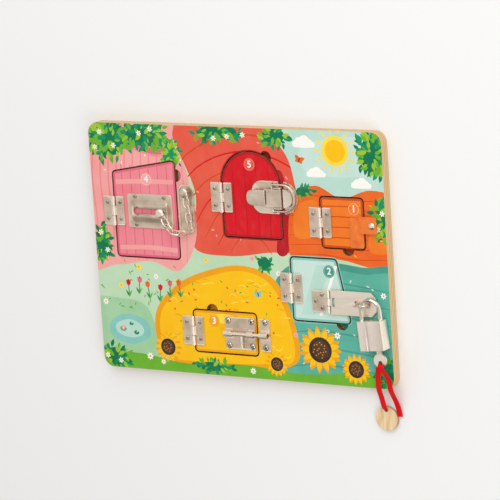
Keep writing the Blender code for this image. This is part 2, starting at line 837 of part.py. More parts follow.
ribbon_route = [
    (0.1366, -0.1328, 0.0022), (0.1366, -0.1323, 0.0045), (0.1364, -0.1297, 0.0060),
    (0.1359, -0.1200, 0.0090),
    (0.1355, -0.1125, 0.0119), (0.1353, -0.1040, 0.0122), (0.1358, -0.0968, 0.0124),
    (0.1378, -0.0912, 0.0126),
    (0.1403, -0.0888, 0.0137), (0.1414, -0.0879, 0.0167), (0.1421, -0.0891, 0.0194),
    (0.1438, -0.0925, 0.0198),
    (0.1454, -0.0968, 0.0176), (0.1466, -0.1035, 0.0136), (0.1470, -0.1120, 0.0121),
    (0.1474, -0.1180, 0.0088),
    (0.1480, -0.1260, 0.0042), (0.1486, -0.1335, 0.0018), (0.1491, -0.1385, 0.0014),
]
ribbon_steps = 4


def ribbon_and_tag(case_axis):
    ribbon = wire("key_ribbon", smooth_route(ribbon_route, ribbon_steps), ribbon_radius, "ribbon")
    tag_x, tag_y = tag_place_shares[0] * board_width, tag_place_shares[1] * board_height
    disc = [(tag_x + x, tag_y + y) for x, y, _ in
            arc(0, 0, tag_radius, 0, 2 * math.pi * (round_sides - 1) / round_sides, round_sides - 1)]
    hole_y = tag_y + tag_radius - tag_hole_margin
    hole = [(tag_x + x, hole_y + y) for x, y, _ in
            arc(0, 0, tag_hole_radius, 0, 2 * math.pi * (small_sides - 1) / small_sides, small_sides - 1)]
    tag = plate("wooden_tag", [disc, hole], board_bottom + seat_gap, board_bottom + seat_gap + tag_thickness,
                "tag_wood")
    attach(case_axis, ribbon, tag)


# Door 3: barrel bolt

def add_band(piece, start, end, centre_y, rod_z, shell, word):
    """A half-round band over the bolt, on a foot that stands a little proud of the plate."""
    combine(piece, "UNION", [rod((start, centre_y, rod_z), (end, centre_y, rod_z), shell, sides=round_sides)],
            f"{word}_band")
    combine(piece, "UNION", [box((start, centre_y - bolt_foot_reach, plate_bottom + plate_thickness / 2),
                                 (end, centre_y + bolt_foot_reach, plate_top + bolt_foot_height))],
            f"{word}_foot")


def barrel_bolt(holder):
    edge = door_right_edge(3, 0)
    centre_y = door_corner(3).y + bolt_centre_share * door_heights[3]
    right = edge - bolt_edge_margin
    left = right - bolt_base_width
    rod_z = plate_top + 2 * running_gap + bolt_rod_radius
    bore = bolt_rod_radius + running_gap
    shell = bore + bolt_band_wall
    half = bolt_base_height / 2
    outline = rounded_outline(left, centre_y - half, right, centre_y + half, plate_corner_radius)
    base = plate("bolt_base", [outline], plate_bottom, plate_top, "nickel")
    for (start, end), word in zip(bolt_band_shares, ("left", "right")):
        add_band(base, left + start * bolt_base_width, left + end * bolt_base_width, centre_y, rod_z, shell,
                 word)
    bore_cut = [rod((left - overrun, centre_y, rod_z), (right + overrun, centre_y, rod_z), bore)]
    combine(base, "DIFFERENCE", bore_cut, "bore")
    handle_x = left + bolt_handle_share * bolt_base_width
    margin = bolt_screw_margin
    add_screws(base, [(x, centre_y + up * (half - margin)) for x in (left + margin, right - margin)
                      for up in (-1, 1)], plate_top)
    attach(holder, base)

    keeper_left = edge + keeper_distance
    inset = keeper_width * keeper_inset_share
    tip = keeper_left + inset - seat_gap
    bolt = solid("bolt_rod", [rod((tip - bolt_rod_length, centre_y, rod_z), (tip, centre_y, rod_z),
                                  bolt_rod_radius)], "bright")
    combine(bolt, "UNION", [rod((handle_x, centre_y, rod_z),
                                (handle_x, centre_y - bolt_handle_length, rod_z), bolt_handle_radius)],
            "handle")
    slide = carrier("bolt_rod_slide", (handle_x, centre_y, rod_z), holder)
    attach(slide, bolt)

    reach = keeper_height / 2
    outline = rounded_outline(keeper_left, centre_y - reach, keeper_left + keeper_width, centre_y + reach,
                              plate_corner_radius)
    keeper = plate("keeper", [outline], plate_bottom, plate_top, "nickel")
    add_band(keeper, keeper_left + inset, keeper_left + keeper_width - inset, centre_y, rod_z, shell,
             "keeper")
    combine(keeper, "DIFFERENCE", [rod((keeper_left - overrun, centre_y, rod_z),
                                       (keeper_left + keeper_width + overrun, centre_y, rod_z), bore)],
            "bore")
    add_screws(keeper, [(keeper_left + keeper_width / 2, centre_y + up * (reach - bolt_screw_margin))
                        for up in (-1, 1)], plate_top)


# Door 4: chain

def chain_link(name, centre, bearing, roll):
    """A stadium of wire; its long axis points along the bearing, and the roll turns it about that axis."""
    straight = link_length / 2 - link_half_width
    points = [*arc(straight, 0, link_half_width, -math.pi / 2, math.pi / 2, corner_steps),
              *arc(-straight, 0, link_half_width, math.pi / 2, 3 * math.pi / 2, corner_steps)]
    turn = Matrix.Rotation(bearing, 4, "Z") @ Matrix.Rotation(roll, 4, "X")
    return wire(name, points, link_wire_radius, "nickel", closed=True,
                matrix=Matrix.Translation(centre) @ turn)


def chain(name, start, height, bearings, first_number, neck_radius):
    """Links from a neck outwards, alternately flat and steep, each hooked in the one before it."""
    pitch = link_length - 2 * link_wire_radius - link_gap
    place = Vector((*start, height))
    bearing = bearings[0]
    reach = link_length / 2 - link_wire_radius - neck_radius - link_gap
    links = []
    for n, bearing in enumerate(bearings):
        if n == 0:
            place += reach * Vector((math.cos(bearing), math.sin(bearing), 0))
        else:
            half = pitch / 2
            before = bearings[n - 1]
            place += half * Vector((math.cos(before), math.sin(before), 0))
            place += half * Vector((math.cos(bearing), math.sin(bearing), 0))
        roll = link_flat_roll if n % 2 == 0 else link_steep_roll
        links.append(chain_link(f"{name}_{first_number + n}", place.copy(), bearing, roll))
    return links


def steep_half_height():
    return link_half_width * math.sin(abs(link_steep_roll)) + link_wire_radius


def flat_half_height():
    return link_half_width * math.sin(link_flat_roll) + link_wire_radius


def chain_lock(holder):
    left, bottom = door_corner(4)
    centre_x = left + track_centre_shares[0] * door_widths[4]
    centre_y = bottom + track_centre_shares[1] * door_heights[4]
    track_width = track_width_share * door_widths[4]
    half_width, half_height = track_width / 2, track_height / 2
    track_top = plate_bottom + track_thickness
    outline = rounded_outline(centre_x - half_width, centre_y - half_height, centre_x + half_width,
                              centre_y + half_height, plate_corner_radius * 2)
    track = plate("chain_track", [outline], plate_bottom, track_top, "nickel")
    raise_half_width, raise_half_height = half_width * track_raise_width_share, track_raise_height / 2
    raised_top = track_top + track_raise
    tray = rounded_outline(centre_x - raise_half_width, centre_y - raise_half_height,
                           centre_x + raise_half_width, centre_y + raise_half_height, plate_corner_radius * 2)
    combine(track, "UNION", plate("chain_track_tray", [tray], plate_bottom + track_thickness / 2, raised_top))
    inner = grown(tray, -track_thickness)
    combine(track, "DIFFERENCE", plate("chain_track_hollow", [inner], plate_bottom - overrun,
                                       raised_top - track_thickness))
    knob_x = centre_x + raise_half_width - track_slot_margin
    keyhole_x = knob_x - 2 * raise_half_width * track_slot_length_share
    slot = [box((keyhole_x, centre_y - track_slot_radius, plate_bottom - overrun),
                (knob_x, centre_y + track_slot_radius, raised_top + overrun))]
    combine(track, "DIFFERENCE", slot, "slot")
    for x, radius, word in ((knob_x, track_slot_radius, "slot_end"),
                            (keyhole_x, track_keyhole_radius, "keyhole")):
        combine(track, "DIFFERENCE", [rod((x, centre_y, plate_bottom - overrun),
                                          (x, centre_y, raised_top + overrun),
                                          radius)], word)
    screw_y = (half_height + raise_half_height) / 2
    screw_x = half_width * track_screw_share
    add_screws(track, [(centre_x + side * screw_x, centre_y + up * screw_y) for side in (-1, 1)
                       for up in (-1, 1)], track_top)
    attach(holder, track)

    link_height = raised_top + seat_gap + steep_half_height()
    head_bottom = link_height + flat_half_height() + seat_gap
    foot_bottom = front_top + 2 * seat_gap
    foot_top = foot_bottom + knob_foot_height
    head_top = head_bottom + knob_head_height
    profile = [(0, head_top), (knob_head_radius * knob_crown_share, head_top),
               (knob_head_radius, head_bottom + knob_head_height / 2), (knob_head_radius, head_bottom),
               (knob_neck_radius, head_bottom), (knob_neck_radius, foot_top), (knob_foot_radius, foot_top),
               (knob_foot_radius, foot_bottom), (0, foot_bottom)]
    knob = turned("chain_knob", profile, (knob_x, centre_y, 0), "nickel", sides=small_sides)
    slide = carrier("chain_knob_slide", (knob_x, centre_y, link_height), holder)
    links = chain("chain_link", (knob_x, centre_y), link_height, door_link_bearings, tail_links + 1,
                  knob_neck_radius)
    attach(slide, knob, *links)

    anchor_x = door_right_edge(4, 0) + anchor_distance
    anchor_y = bottom + anchor_rise_share * door_heights[4]
    outline = rounded_outline(anchor_x - anchor_width / 2, anchor_y - anchor_height / 2,
                              anchor_x + anchor_width / 2, anchor_y + anchor_height / 2, anchor_width / 2)
    anchor = plate("anchor_plate", [outline], plate_bottom, plate_top, "nickel")
    rim_inset = anchor_rim_width * anchor_rim_inset_share
    rim = plate("anchor_plate_rim", [grown(outline, -rim_inset), grown(outline, -anchor_rim_width)],
                plate_bottom + plate_thickness / 2, plate_top + anchor_rim_height)
    combine(anchor, "UNION", rim)
    rivet_x = anchor_x + rivet_offset
    rivet_y = anchor_y + anchor_height / 2 - rivet_margin
    tail_height = plate_top + anchor_rim_height + seat_gap + steep_half_height()
    rivet_bottom = plate_top + seat_gap
    dome = tail_height + flat_half_height() + seat_gap
    profile = [(rivet_head_radius * math.sin(a), dome + rivet_head_height * math.cos(a))
               for a in (math.pi / 2 * n / corner_steps for n in range(corner_steps + 1))]
    turned("rivet", [*profile, (rivet_neck_radius, dome), (rivet_neck_radius, rivet_bottom),
                     (0, rivet_bottom)],
           (rivet_x, rivet_y, 0), "nickel")
    tail_axis = carrier("chain_tail_axis", (rivet_x, rivet_y, tail_height))
    tail_bearing = math.radians(-90) + math.atan2(tail_drift * tail_links, anchor_height)
    attach(tail_axis, *chain("chain_link", (rivet_x, rivet_y), tail_height, [tail_bearing] * tail_links, 1,
                             rivet_neck_radius))


# Door 5: toggle latch

def half_ellipse(left, centre_y, length, half_height, turn=1):
    """Points of an ellipse's right half, upwards, or downwards where the turn is -1."""
    angles = [turn * math.pi * (n / (2 * corner_steps) - 0.5) for n in range(2 * corner_steps + 1)]
    return [(left + length * math.cos(a), centre_y + half_height * math.sin(a)) for a in angles]


def toggle_latch(holder):
    edge = door_right_edge(5, 0)
    centre_y = door_corner(5).y + latch_centre_share * door_heights[5]
    right = edge - latch_edge_margin
    left = right - latch_base_width
    half = latch_base_height / 2
    pivot_x = edge + latch_pivot_reach
    pivot_z = front_top + latch_pivot_height
    outline = rounded_outline(left, centre_y - half, right, centre_y + half, plate_corner_radius,
                              latch_base_round)
    base = plate("latch_base", [outline], plate_bottom, plate_top, "nickel")
    inner = lever_half_height + 2 * running_gap
    outer = inner + latch_ear_thickness
    ears = [box((pivot_x - latch_ear_back, centre_y + min(side * inner, side * outer),
                 plate_bottom + plate_thickness / 2),
                (pivot_x + latch_ear_front, centre_y + max(side * inner, side * outer),
                 pivot_z + latch_ear_cap)) for side in (-1, 1)]
    combine(base, "UNION", ears, "ears")
    combine(base, "DIFFERENCE", [rod((pivot_x, centre_y - half - overrun, pivot_z),
                                     (pivot_x, centre_y + half + overrun, pivot_z),
                                     latch_pin_radius + running_gap)], "bore")
    across, rise = latch_screw_shares
    add_screws(base, [(left + latch_base_width * across, centre_y + up * half * rise) for up in (-1, 1)],
               plate_top)
    reach = outer + latch_pin_overhang
    pin = solid("latch_pin", [rod((pivot_x, centre_y - reach, pivot_z), (pivot_x, centre_y + reach, pivot_z),
                                  latch_pin_radius)], "nickel")
    attach(holder, base, pin)
    lever_axis = carrier("latch_lever_axis", (pivot_x, centre_y, pivot_z), holder)
    attach(lever_axis, latch_lever(pivot_x, centre_y, pivot_z))

    catch_left = edge + catch_distance
    hook_left = catch_left + hook_inset
    loop_x = pivot_x - loop_crank
    loop_axis = carrier("latch_loop_axis", (loop_x, centre_y, pivot_z), lever_axis)
    low, high = centre_y - loop_half_height, centre_y + loop_half_height
    points = [(loop_x, centre_y + loop_end_inset), (loop_x, high - loop_wire_radius),
              (loop_x + loop_wire_radius, high),
              *half_ellipse(hook_left, centre_y, hook_length + catch_gap + loop_wire_radius, loop_half_height,
                            -1),
              (loop_x + loop_wire_radius, low), (loop_x, low + loop_wire_radius),
              (loop_x, centre_y - loop_end_inset)]
    attach(loop_axis, wire("latch_loop", [(x, y, pivot_z) for x, y in points], loop_wire_radius, "nickel"))

    reach = catch_height / 2
    middle_x = catch_left + catch_width - reach
    start = math.acos((catch_left - middle_x) / reach)
    outline = [(middle_x + reach * math.cos(a), centre_y + reach * math.sin(a))
               for a in (start * (n / (2 * corner_steps) - 1) for n in range(4 * corner_steps + 1))]
    catch = plate("latch_catch", [outline], plate_bottom, plate_top, "nickel")
    hook = half_ellipse(hook_left, centre_y, hook_length, hook_half_height)
    combine(catch, "UNION", plate("latch_catch_hook", [hook], plate_bottom + plate_thickness / 2,
                                  front_top + hook_height))
    across, rise = catch_screw_shares
    add_screws(catch, [(catch_left + catch_width * across, centre_y + up * reach * rise) for up in (-1, 1)],
               plate_top)


def latch_lever(pivot_x, centre_y, pivot_z):
    """A cover over the pivot with a round-ended tab that stands a little higher."""
    bottom = pivot_z + lever_lift
    top = bottom + lever_thickness
    left = pivot_x - lever_length
    shoulder = left + lever_tab_length
    cover = [(pivot_x + lever_overhang, centre_y + lever_half_height),
             (shoulder, centre_y + lever_half_height),
             (shoulder, centre_y - lever_half_height),
             (pivot_x + lever_overhang, centre_y - lever_half_height)]
    lever = plate("latch_lever", [cover], bottom, top, "nickel")
    tab = rounded_outline(left, centre_y - lever_tab_half_height, shoulder + lever_tab_overlap,
                          centre_y + lever_tab_half_height, plate_corner_radius / 2,
                          lever_tab_half_height * lever_tab_round_share)
    combine(lever, "UNION", plate("latch_lever_tab", [tab], bottom + lever_tab_rise, top + lever_tab_rise))
    for x, radius, bore, word in ((pivot_x, latch_barrel_radius, latch_pin_radius, "pivot"),
                                  (pivot_x - loop_crank, loop_barrel_radius, loop_wire_radius, "loop")):
        start = centre_y - lever_half_height + running_gap
        end = centre_y + lever_half_height - running_gap
        combine(lever, "UNION", [rod((x, start, pivot_z), (x, end, pivot_z), radius)], f"{word}_barrel")
        combine(lever, "DIFFERENCE", [rod((x, start - overrun, pivot_z), (x, end + overrun, pivot_z),
                                          bore + running_gap)], f"{word}_bore")
    return lever


board()
holders = {number: door(number) for number in door_widths}
snap_strap(holders[1])
strap_axis = hasp(holders[2])
staple()
case_slide = padlock(strap_axis)
ribbon_and_tag(case_slide)
barrel_bolt(holders[3])
chain_lock(holders[4])
toggle_latch(holders[5])
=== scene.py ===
import math
import random

import bmesh
import bpy
from mathutils import Matrix, Vector
from mathutils.geometry import delaunay_2d_cdt


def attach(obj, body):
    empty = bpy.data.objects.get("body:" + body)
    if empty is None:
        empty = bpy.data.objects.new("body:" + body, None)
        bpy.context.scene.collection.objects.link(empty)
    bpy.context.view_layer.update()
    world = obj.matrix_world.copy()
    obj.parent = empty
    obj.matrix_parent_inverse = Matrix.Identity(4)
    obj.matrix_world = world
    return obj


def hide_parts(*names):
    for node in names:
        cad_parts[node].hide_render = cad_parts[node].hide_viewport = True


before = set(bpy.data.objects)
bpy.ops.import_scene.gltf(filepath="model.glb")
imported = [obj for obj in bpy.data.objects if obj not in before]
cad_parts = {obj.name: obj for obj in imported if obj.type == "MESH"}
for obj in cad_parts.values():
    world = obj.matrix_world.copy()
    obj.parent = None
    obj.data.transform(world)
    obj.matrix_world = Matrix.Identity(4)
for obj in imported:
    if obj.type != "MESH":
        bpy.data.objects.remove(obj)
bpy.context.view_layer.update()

scene = bpy.context.scene

quarter = math.pi / 2

# The board, in metres
half_width, half_height = 0.150, 0.1125
corner_radius = 0.010
panel_top = 0.0100
plate_bottom, plate_top = 0.0103, 0.0113
kerf = 0.0012
notch_radius = 0.0058
print_thickness = 0.00005
print_margin, print_sink = 0.00012, 0.00001
notch_floor = 0.0040
door_corner_radius = 0.0036
ply_thickness = 0.0014
along_grain = (0.06, 1, 1)

# Each door's lower hinge-side corner, width and hinge-side height
door_places = {
    1: (0.08619, 0.009495, 0.0430, 0.0454005),
    2: (0.05301, -0.0569925, 0.0580, 0.0570),
    3: (-0.05100, -0.0920925, 0.0660, 0.0387),
    4: (-0.12699, -0.0090000, 0.0667, 0.0776003),
    5: (-0.01251, 0.0144900, 0.0600, 0.0472005),
}
door_2_top_inset = 0.0120
door_4_roof_rise = 0.0120
door_5_arch_rise = 0.0300
notch_centres = [(0.11199, 0.009495), (0.10173, -0.0569925), (-0.03054, -0.0533925), (-0.06029, 0.0671600),
                 (0.03396, 0.0867600)]
badge_centres = {1: (0.1194, 0.0449), 2: (0.0914, -0.0113), 3: (-0.0295, -0.0629), 4: (-0.0914, 0.0624),
                 5: (0.0172, 0.0800)}

# Where the hinges' middles lie above the board's middle, and the bolt's centre line
hinge_centres = {1: 0.032104, 2: -0.027695, 3: -0.072588, 4: 0.032904, 5: 0.049984}
bolt_centre_y = -0.0723168

# The hasp and the padlock, whose own frame is turned a little from the board's
padlock_frame = Matrix.Translation((0.13333, -0.037898, 0.0166)) @ Matrix.Rotation(math.radians(5), 4, "Z")

ribbon_route = [
    (0.1366, -0.1328, 0.0022), (0.1366, -0.1323, 0.0045), (0.1364, -0.1297, 0.0060), (0.1359, -0.1200, 0.0090),
    (0.1355, -0.1125, 0.0119), (0.1353, -0.1040, 0.0122), (0.1358, -0.0968, 0.0124), (0.1378, -0.0912, 0.0126),
    (0.1403, -0.0888, 0.0137), (0.1414, -0.0879, 0.0167), (0.1421, -0.0891, 0.0194), (0.1438, -0.0925, 0.0198),
    (0.1454, -0.0968, 0.0176), (0.1466, -0.1035, 0.0136), (0.1470, -0.1120, 0.0121), (0.1474, -0.1180, 0.0088),
    (0.1480, -0.1260, 0.0042), (0.1486, -0.1335, 0.0018), (0.1491, -0.1385, 0.0014),
]
ribbon_width = 0.0052
ribbon_thickness = 0.0004

# Plain inks, by the names that the picture's shapes use
inks = {
    "pink": "F28C96", "blush": "F7A9A4", "rose": "E86A80", "coral": "EA5C45", "red": "DC0C1E",
    "crimson": "BC0A1C",
    "orange": "F06A1C", "tangerine": "F5821F", "amber": "FFC600", "honey": "F5A800", "lemon": "FFE04A",
    "mint": "C3DFBB", "sage": "A8D3A5", "sky": "8CCDBF", "pine": "007A4D", "leaf": "00955E", "fern": "6FB52E",
    "lime": "9CC82E", "teal": "5FB5A0", "lagoon": "4CA08E", "ice": "BFE0D2", "frost": "CDE5DA", "bark": "3A2E2A",
    "white": "FFF9F2", "cream": "FFF0D2", "ember": "D24E16", "cocoa": "5A3A28",
}


def linear(code):
    """A hex colour as linear red, green, blue and alpha."""
    values = [int(code[n:n + 2], 16) / 255 for n in (0, 2, 4)]
    return (*[v / 12.92 if v <= 0.04045 else ((v + 0.055) / 1.055) ** 2.4 for v in values], 1)


# Node trees and materials

class Graph:
    """A node tree under construction. An input is given a value, a hex colour or another node's output."""

    def __init__(self, tree):
        self.tree, self.nodes = tree, tree.nodes

    def fill(self, socket, value):
        if isinstance(value, bpy.types.NodeSocket):
            self.tree.links.new(value, socket)
        else:
            socket.default_value = linear(value) if isinstance(value, str) else value

    def node(self, kind, *values, **named):
        """A new node. The named are inputs or else properties; the plain values fill its inputs in order."""
        made = self.nodes.new(kind)
        for key, value in named.items():
            label = key.replace("_", " ")
            if label in made.inputs:
                self.fill(made.inputs[label], value)
            else:
                setattr(made, key, value)
        for socket, value in zip(made.inputs, values):
            self.fill(socket, value)
        return made

    def sum(self, operation, *values):
        return self.node("ShaderNodeMath", *values, operation=operation).outputs[0]

    def separate(self, vector):
        return self.node("ShaderNodeSeparateXYZ", vector).outputs

    def span(self, value, low, high, start=0.0, end=1.0):
        """The value moved from one range to another, and kept inside it."""
        return self.node("ShaderNodeMapRange", value, start, end, low, high).outputs["Result"]

    def ramp(self, value, *stops):
        """Colours along a value; a stop is its place and its hex colour or linear one."""
        made = self.node("ShaderNodeValToRGB", value)
        elements = made.color_ramp.elements
        while len(elements) < len(stops):
            elements.new(0.5)
        for element, (place, colour) in zip(elements, stops):
            element.position = place
            element.color = linear(colour) if isinstance(colour, str) else colour
        return made.outputs["Color"]


class Finish(Graph):
    """A material under construction: a Principled shader and what feeds it."""

    def __init__(self, name, **levels):
        self.material = bpy.data.materials.new(name)
        self.material.use_nodes = True
        super().__init__(self.material.node_tree)
        self.feed(**levels)

    def feed(self, **sockets):
        for name, value in sockets.items():
            self.fill(self.nodes["Principled BSDF"].inputs[name.replace("_", " ")], value)

    def made(self, bump=None, distance=0.0, strength=1.0, **sockets):
        """The material, once its shader is fed and its surface raised by a bump."""
        if bump is not None:
            raised = self.node("ShaderNodeBump", Distance=distance, Strength=strength, Height=bump)
            sockets["Normal"] = raised.outputs["Normal"]
        self.feed(**sockets)
        return self.material

    def coordinates(self, stretch=(1, 1, 1), turn=(0, 0, 0), source="Object"):
        """Object coordinates or the piece's own UV map, stretched and turned."""
        if source == "UV":
            start = self.node("ShaderNodeUVMap", uv_map="layout").outputs["UV"]
        else:
            start = self.node("ShaderNodeTexCoord").outputs["Object"]
        return self.node("ShaderNodeMapping", Vector=start, Scale=stretch, Rotation=turn).outputs["Vector"]

    def noise(self, scale, detail=3.0, **where):
        return self.node("ShaderNodeTexNoise", Scale=scale, Detail=detail, Roughness=0.55,
                         Vector=self.coordinates(**where)).outputs["Fac"]

    def wave(self, scale, direction, distortion=0.0, **where):
        return self.node("ShaderNodeTexWave", Scale=scale, Distortion=distortion, bands_direction=direction,
                         Vector=self.coordinates(**where)).outputs["Fac"]

    def mix(self, share, first, second, blend="MIX"):
        made = self.node("ShaderNodeMix", data_type="RGBA", blend_type=blend)
        for number, value in ((0, share), (6, first), (7, second)):
            self.fill(made.inputs[number], value)
        return made.outputs[2]

    def upward(self):
        """How far a face looks up, in the piece's own frame, so that it stays when a door opens."""
        return self.separate(self.node("ShaderNodeTexCoord").outputs["Normal"])[2]

    def sides(self):
        return self.sum("LESS_THAN", self.sum("ABSOLUTE", self.upward()), 0.5)


def plies(finish, height):
    """The veneers along a plywood's edge, dark where two are glued."""
    ply = finish.span(finish.sum("PINGPONG", height, ply_thickness), 0, 1, 0, ply_thickness)
    return finish.ramp(ply, (0.0, "8A5B32"), (0.12, "C99B64"), (0.5, "E8CA9B"), (1.0, "DDB983"))


def make_plywood():
    finish = Finish("birch_plywood")
    grain = finish.noise(260, 5, stretch=along_grain)
    face = finish.ramp(grain, (0.25, "D9B988"), (0.55, "EACFA3"), (0.8, "F1DDB9"))
    edge = plies(finish, finish.separate(finish.coordinates())[2])
    return finish.made(grain, 0.00006, Base_Color=finish.mix(finish.sides(), face, edge),
                       Roughness=finish.span(grain, 0.5, 0.72))


def make_charred():
    """The doors and the panel round them: plywood whose cut edges a laser has browned."""
    finish = Finish("charred_plywood", Roughness=0.7)
    grain = finish.noise(300, 5, stretch=along_grain)
    wood = finish.ramp(grain, (0.25, "D9B988"), (0.6, "EACFA3"), (0.85, "F1DDB9"))
    x, y, z = finish.separate(finish.coordinates())
    reach = [finish.sum("DIVIDE", finish.sum("ABSOLUTE", place), half)
             for place, half in ((x, half_width), (y, half_height))]
    inner = finish.sum("LESS_THAN", finish.sum("MAXIMUM", *reach), 0.9)
    burnt = finish.noise(900, stretch=(1, 1, 0.15))
    scorch_and_gap_shade = finish.ramp(burnt, (0.3, "2E170D"), (0.7, "5E3520"))
    edges = finish.mix(inner, plies(finish, z), finish.ramp(burnt, (0.3, "6B4426"), (0.7, "A0703F")))
    # Upper faces show only as a thin strip beside each cut; it is made dark brown, partly laser scorch and partly
    # painted shade along the gap.
    upper = finish.sum("MULTIPLY", inner, finish.sum("GREATER_THAN", finish.upward(), 0.5))
    faces = finish.mix(upper, wood, finish.mix(0.85, wood, scorch_and_gap_shade))
    return finish.made(grain, 0.00005, Base_Color=finish.mix(finish.sides(), faces, edges))


def make_ink():
    """Printed inks, coloured by the film's own attribute, with the brushed mottle of gouache."""
    finish = Finish("printed_inks", Specular_IOR_Level=0.25)
    colour = finish.node("ShaderNodeAttribute", attribute_name="ink").outputs["Color"]
    brushed = finish.noise(170, 4, stretch=(1, 0.45, 1), turn=(0, 0, 0.5))
    lighter = finish.mix(finish.span(brushed, 0, 0.03, 0.5, 0.8), colour, "FFF4DC")
    broad = finish.span(finish.noise(45, 2), 0, 0.22, 0.6, 0.3)
    return finish.made(brushed, 0.00002, 0.6, Base_Color=finish.mix(broad, lighter, colour, "MULTIPLY"),
                       Roughness=finish.span(brushed, 0.44, 0.58))


def make_metal(name, light, dark, roughness, brush, upright=False):
    """A brushed metal, whose streaks run along the board or up it and whose outer edges are lighter: wear, and a
    painted highlight.
    """
    finish = Finish(name, Metallic=1.0)
    streaks = finish.noise(1800, stretch=(1, brush, 1) if upright else (brush, 1, 1))
    tone = finish.mix(finish.span(finish.noise(90), 0, 1, 0.3, 0.7), dark, light)
    # Convex edges lightened towards near white: partly wear, partly a painted highlight.
    edge = finish.node("ShaderNodeNewGeometry").outputs["Pointiness"]
    worn_and_highlit_edges = finish.mix(finish.span(edge, 0, 1, 0.51, 0.60), tone, "FFF6EA")
    return finish.made(streaks, 0.00001, 0.5,
                       Base_Color=finish.mix(finish.span(streaks, 0.0, 0.16, 0.35, 0.75), worn_and_highlit_edges, dark),
                       Roughness=finish.span(streaks, roughness * 0.8, roughness * 1.3, 0.3, 0.7))


def make_recess():
    """Painted shade: a dark finish for the bottom of a screw's cross and the thin ring round its head."""
    finish = Finish("recess_shadow", Roughness=0.75, Metallic=0.4)
    return finish.made(Base_Color=finish.ramp(finish.noise(1500), (0.3, "2A241F"), (0.75, "4C443C")))


def make_leather():
    finish = Finish("orange_leather", Sheen_Weight=0.2)
    pores = finish.node("ShaderNodeTexVoronoi", Scale=1500.0, Vector=finish.coordinates()).outputs["Distance"]
    tone = finish.noise(160, 4)
    base = finish.mix(finish.span(tone, 0, 1, 0.3, 0.7), "E8640F", "F7821A")
    return finish.made(pores, 0.00008, Base_Color=finish.mix(finish.span(pores, 0.30, 0, 0.0, 0.35), base,
                                                             "B8480A"),
                       Roughness=finish.span(tone, 0.42, 0.6))


def make_ribbon():
    finish = Finish("red_ribbon", Roughness=0.6, Specular_IOR_Level=0.2)
    ribs, threads = finish.wave(620, "Y", source="UV"), finish.wave(1100, "X", source="UV")
    weave = finish.sum("MULTIPLY", ribs, finish.span(threads, 0.75, 1.0))
    shade = finish.mix(finish.span(weave, 0, 1), "C80410", "F50A14")
    cloudy = finish.span(finish.noise(220), 0, 0.35, 0.35, 0.7)
    return finish.made(weave, 0.00006, Base_Color=finish.mix(cloudy, shade, "D6060F"))


def make_thread():
    finish = Finish("orange_thread", Roughness=0.6, Sheen_Weight=0.3)
    twist = finish.wave(2400, "DIAGONAL", 1.5)
    return finish.made(twist, 0.00005, Base_Color=finish.mix(twist, "D8540C", "FF9A3C"))


def make_tag_wood():
    finish = Finish("tag_wood", Roughness=0.6)
    rings = finish.wave(38, "X", 6, turn=(0, 0, 0.25))
    fibre = finish.noise(420, 5, stretch=(1, 0.05, 1), turn=(0, 0, 0.25))
    base = finish.ramp(rings, (0.0, "F3DBB3"), (0.6, "EFD2A3"), (1.0, "E6C390"))
    grainy = finish.mix(finish.span(fibre, 0, 0.5, 0.4, 0.75), base, "C99759")
    return finish.made(fibre, 0.00006,
                       Base_Color=finish.mix(finish.span(finish.sides(), 0, 0.55), grainy, "8A5A30"))


materials = {
    "plywood": make_plywood(),
    "charred": make_charred(),
    "ink": make_ink(),
    "nickel": make_metal("satin_nickel", "E9DBCA", "CBB9A4", 0.38, 0.05),
    "steel": make_metal("polished_steel", "F4F0EC", "D2CBC5", 0.18, 0.04),
    "case": make_metal("brushed_case", "F3ECE8", "D8CEC9", 0.34, 0.03, upright=True),
    "recess": make_recess(),
    "screw": make_metal("screw_nickel", "D2C7B8", "9C8F7E", 0.28, 1.0),
    "leather": make_leather(),
    "ribbon": make_ribbon(),
    "thread": make_thread(),
    "tag": make_tag_wood(),
}


# Making meshes

def added(name, data):
    made = bpy.data.objects.new(name, data)
    scene.collection.objects.link(made)
    return made


def finished(name, mesh, body, material):
    """A mesh made a piece of the object, which moves with a body; with no material given it keeps its own."""
    piece = added(name, mesh)
    if material:
        mesh.materials.clear()
        mesh.materials.append(materials[material])
    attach(piece, body)
    return piece


def smoothed(mesh, angle=30):
    mesh.shade_smooth()
    mesh.set_sharp_from_angle(angle=math.radians(angle))
    return mesh


def from_builder(name, builder, smooth=30):
    mesh = bpy.data.meshes.new(name)
    builder.to_mesh(mesh)
    builder.free()
    return smoothed(mesh, smooth) if smooth else mesh


def evaluated(name, source):
    """An object's mesh with its modifiers applied; the object is removed."""
    bpy.context.view_layer.update()
    graph = bpy.context.evaluated_depsgraph_get()
    mesh = bpy.data.meshes.new_from_object(source.evaluated_get(graph))
    mesh.name = name
    bpy.data.objects.remove(source, do_unlink=True)
    return mesh


def welded(mesh, distance, place):
    """A builder of the mesh with its doubled points merged, moved to its place."""
    builder = bmesh.new()
    builder.from_mesh(mesh)
    bmesh.ops.remove_doubles(builder, verts=builder.verts, dist=distance)
    bmesh.ops.recalc_face_normals(builder, faces=builder.faces)
    builder.transform(Matrix.Translation(place))
    return builder


def skinned(name, rings, smooth, looped=False):
    """A skin through rings of as many points each; it is capped unless the last ring joins the first."""
    builder = bmesh.new()
    rows = [[builder.verts.new(point) for point in ring] for ring in rings]
    count = len(rows[0])
    for here, there in zip(rows, rows[1:] + rows[:1] if looped else rows[1:]):
        for m in range(count):
            builder.faces.new((here[m], here[(m + 1) % count], there[(m + 1) % count], there[m]))
    if not looped:
        builder.faces.new(rows[0][::-1])
        builder.faces.new(rows[-1])
    bmesh.ops.recalc_face_normals(builder, faces=builder.faces)
    return from_builder(name, builder, smooth)


def add_drum(builder, place, radius, length, segments):
    """A cylinder whose axis runs up the board."""
    bmesh.ops.create_cone(builder, cap_ends=True, segments=segments, radius1=radius, radius2=radius, depth=length,
                          matrix=Matrix.Translation(place) @ Matrix.Rotation(quarter, 4, "X"))


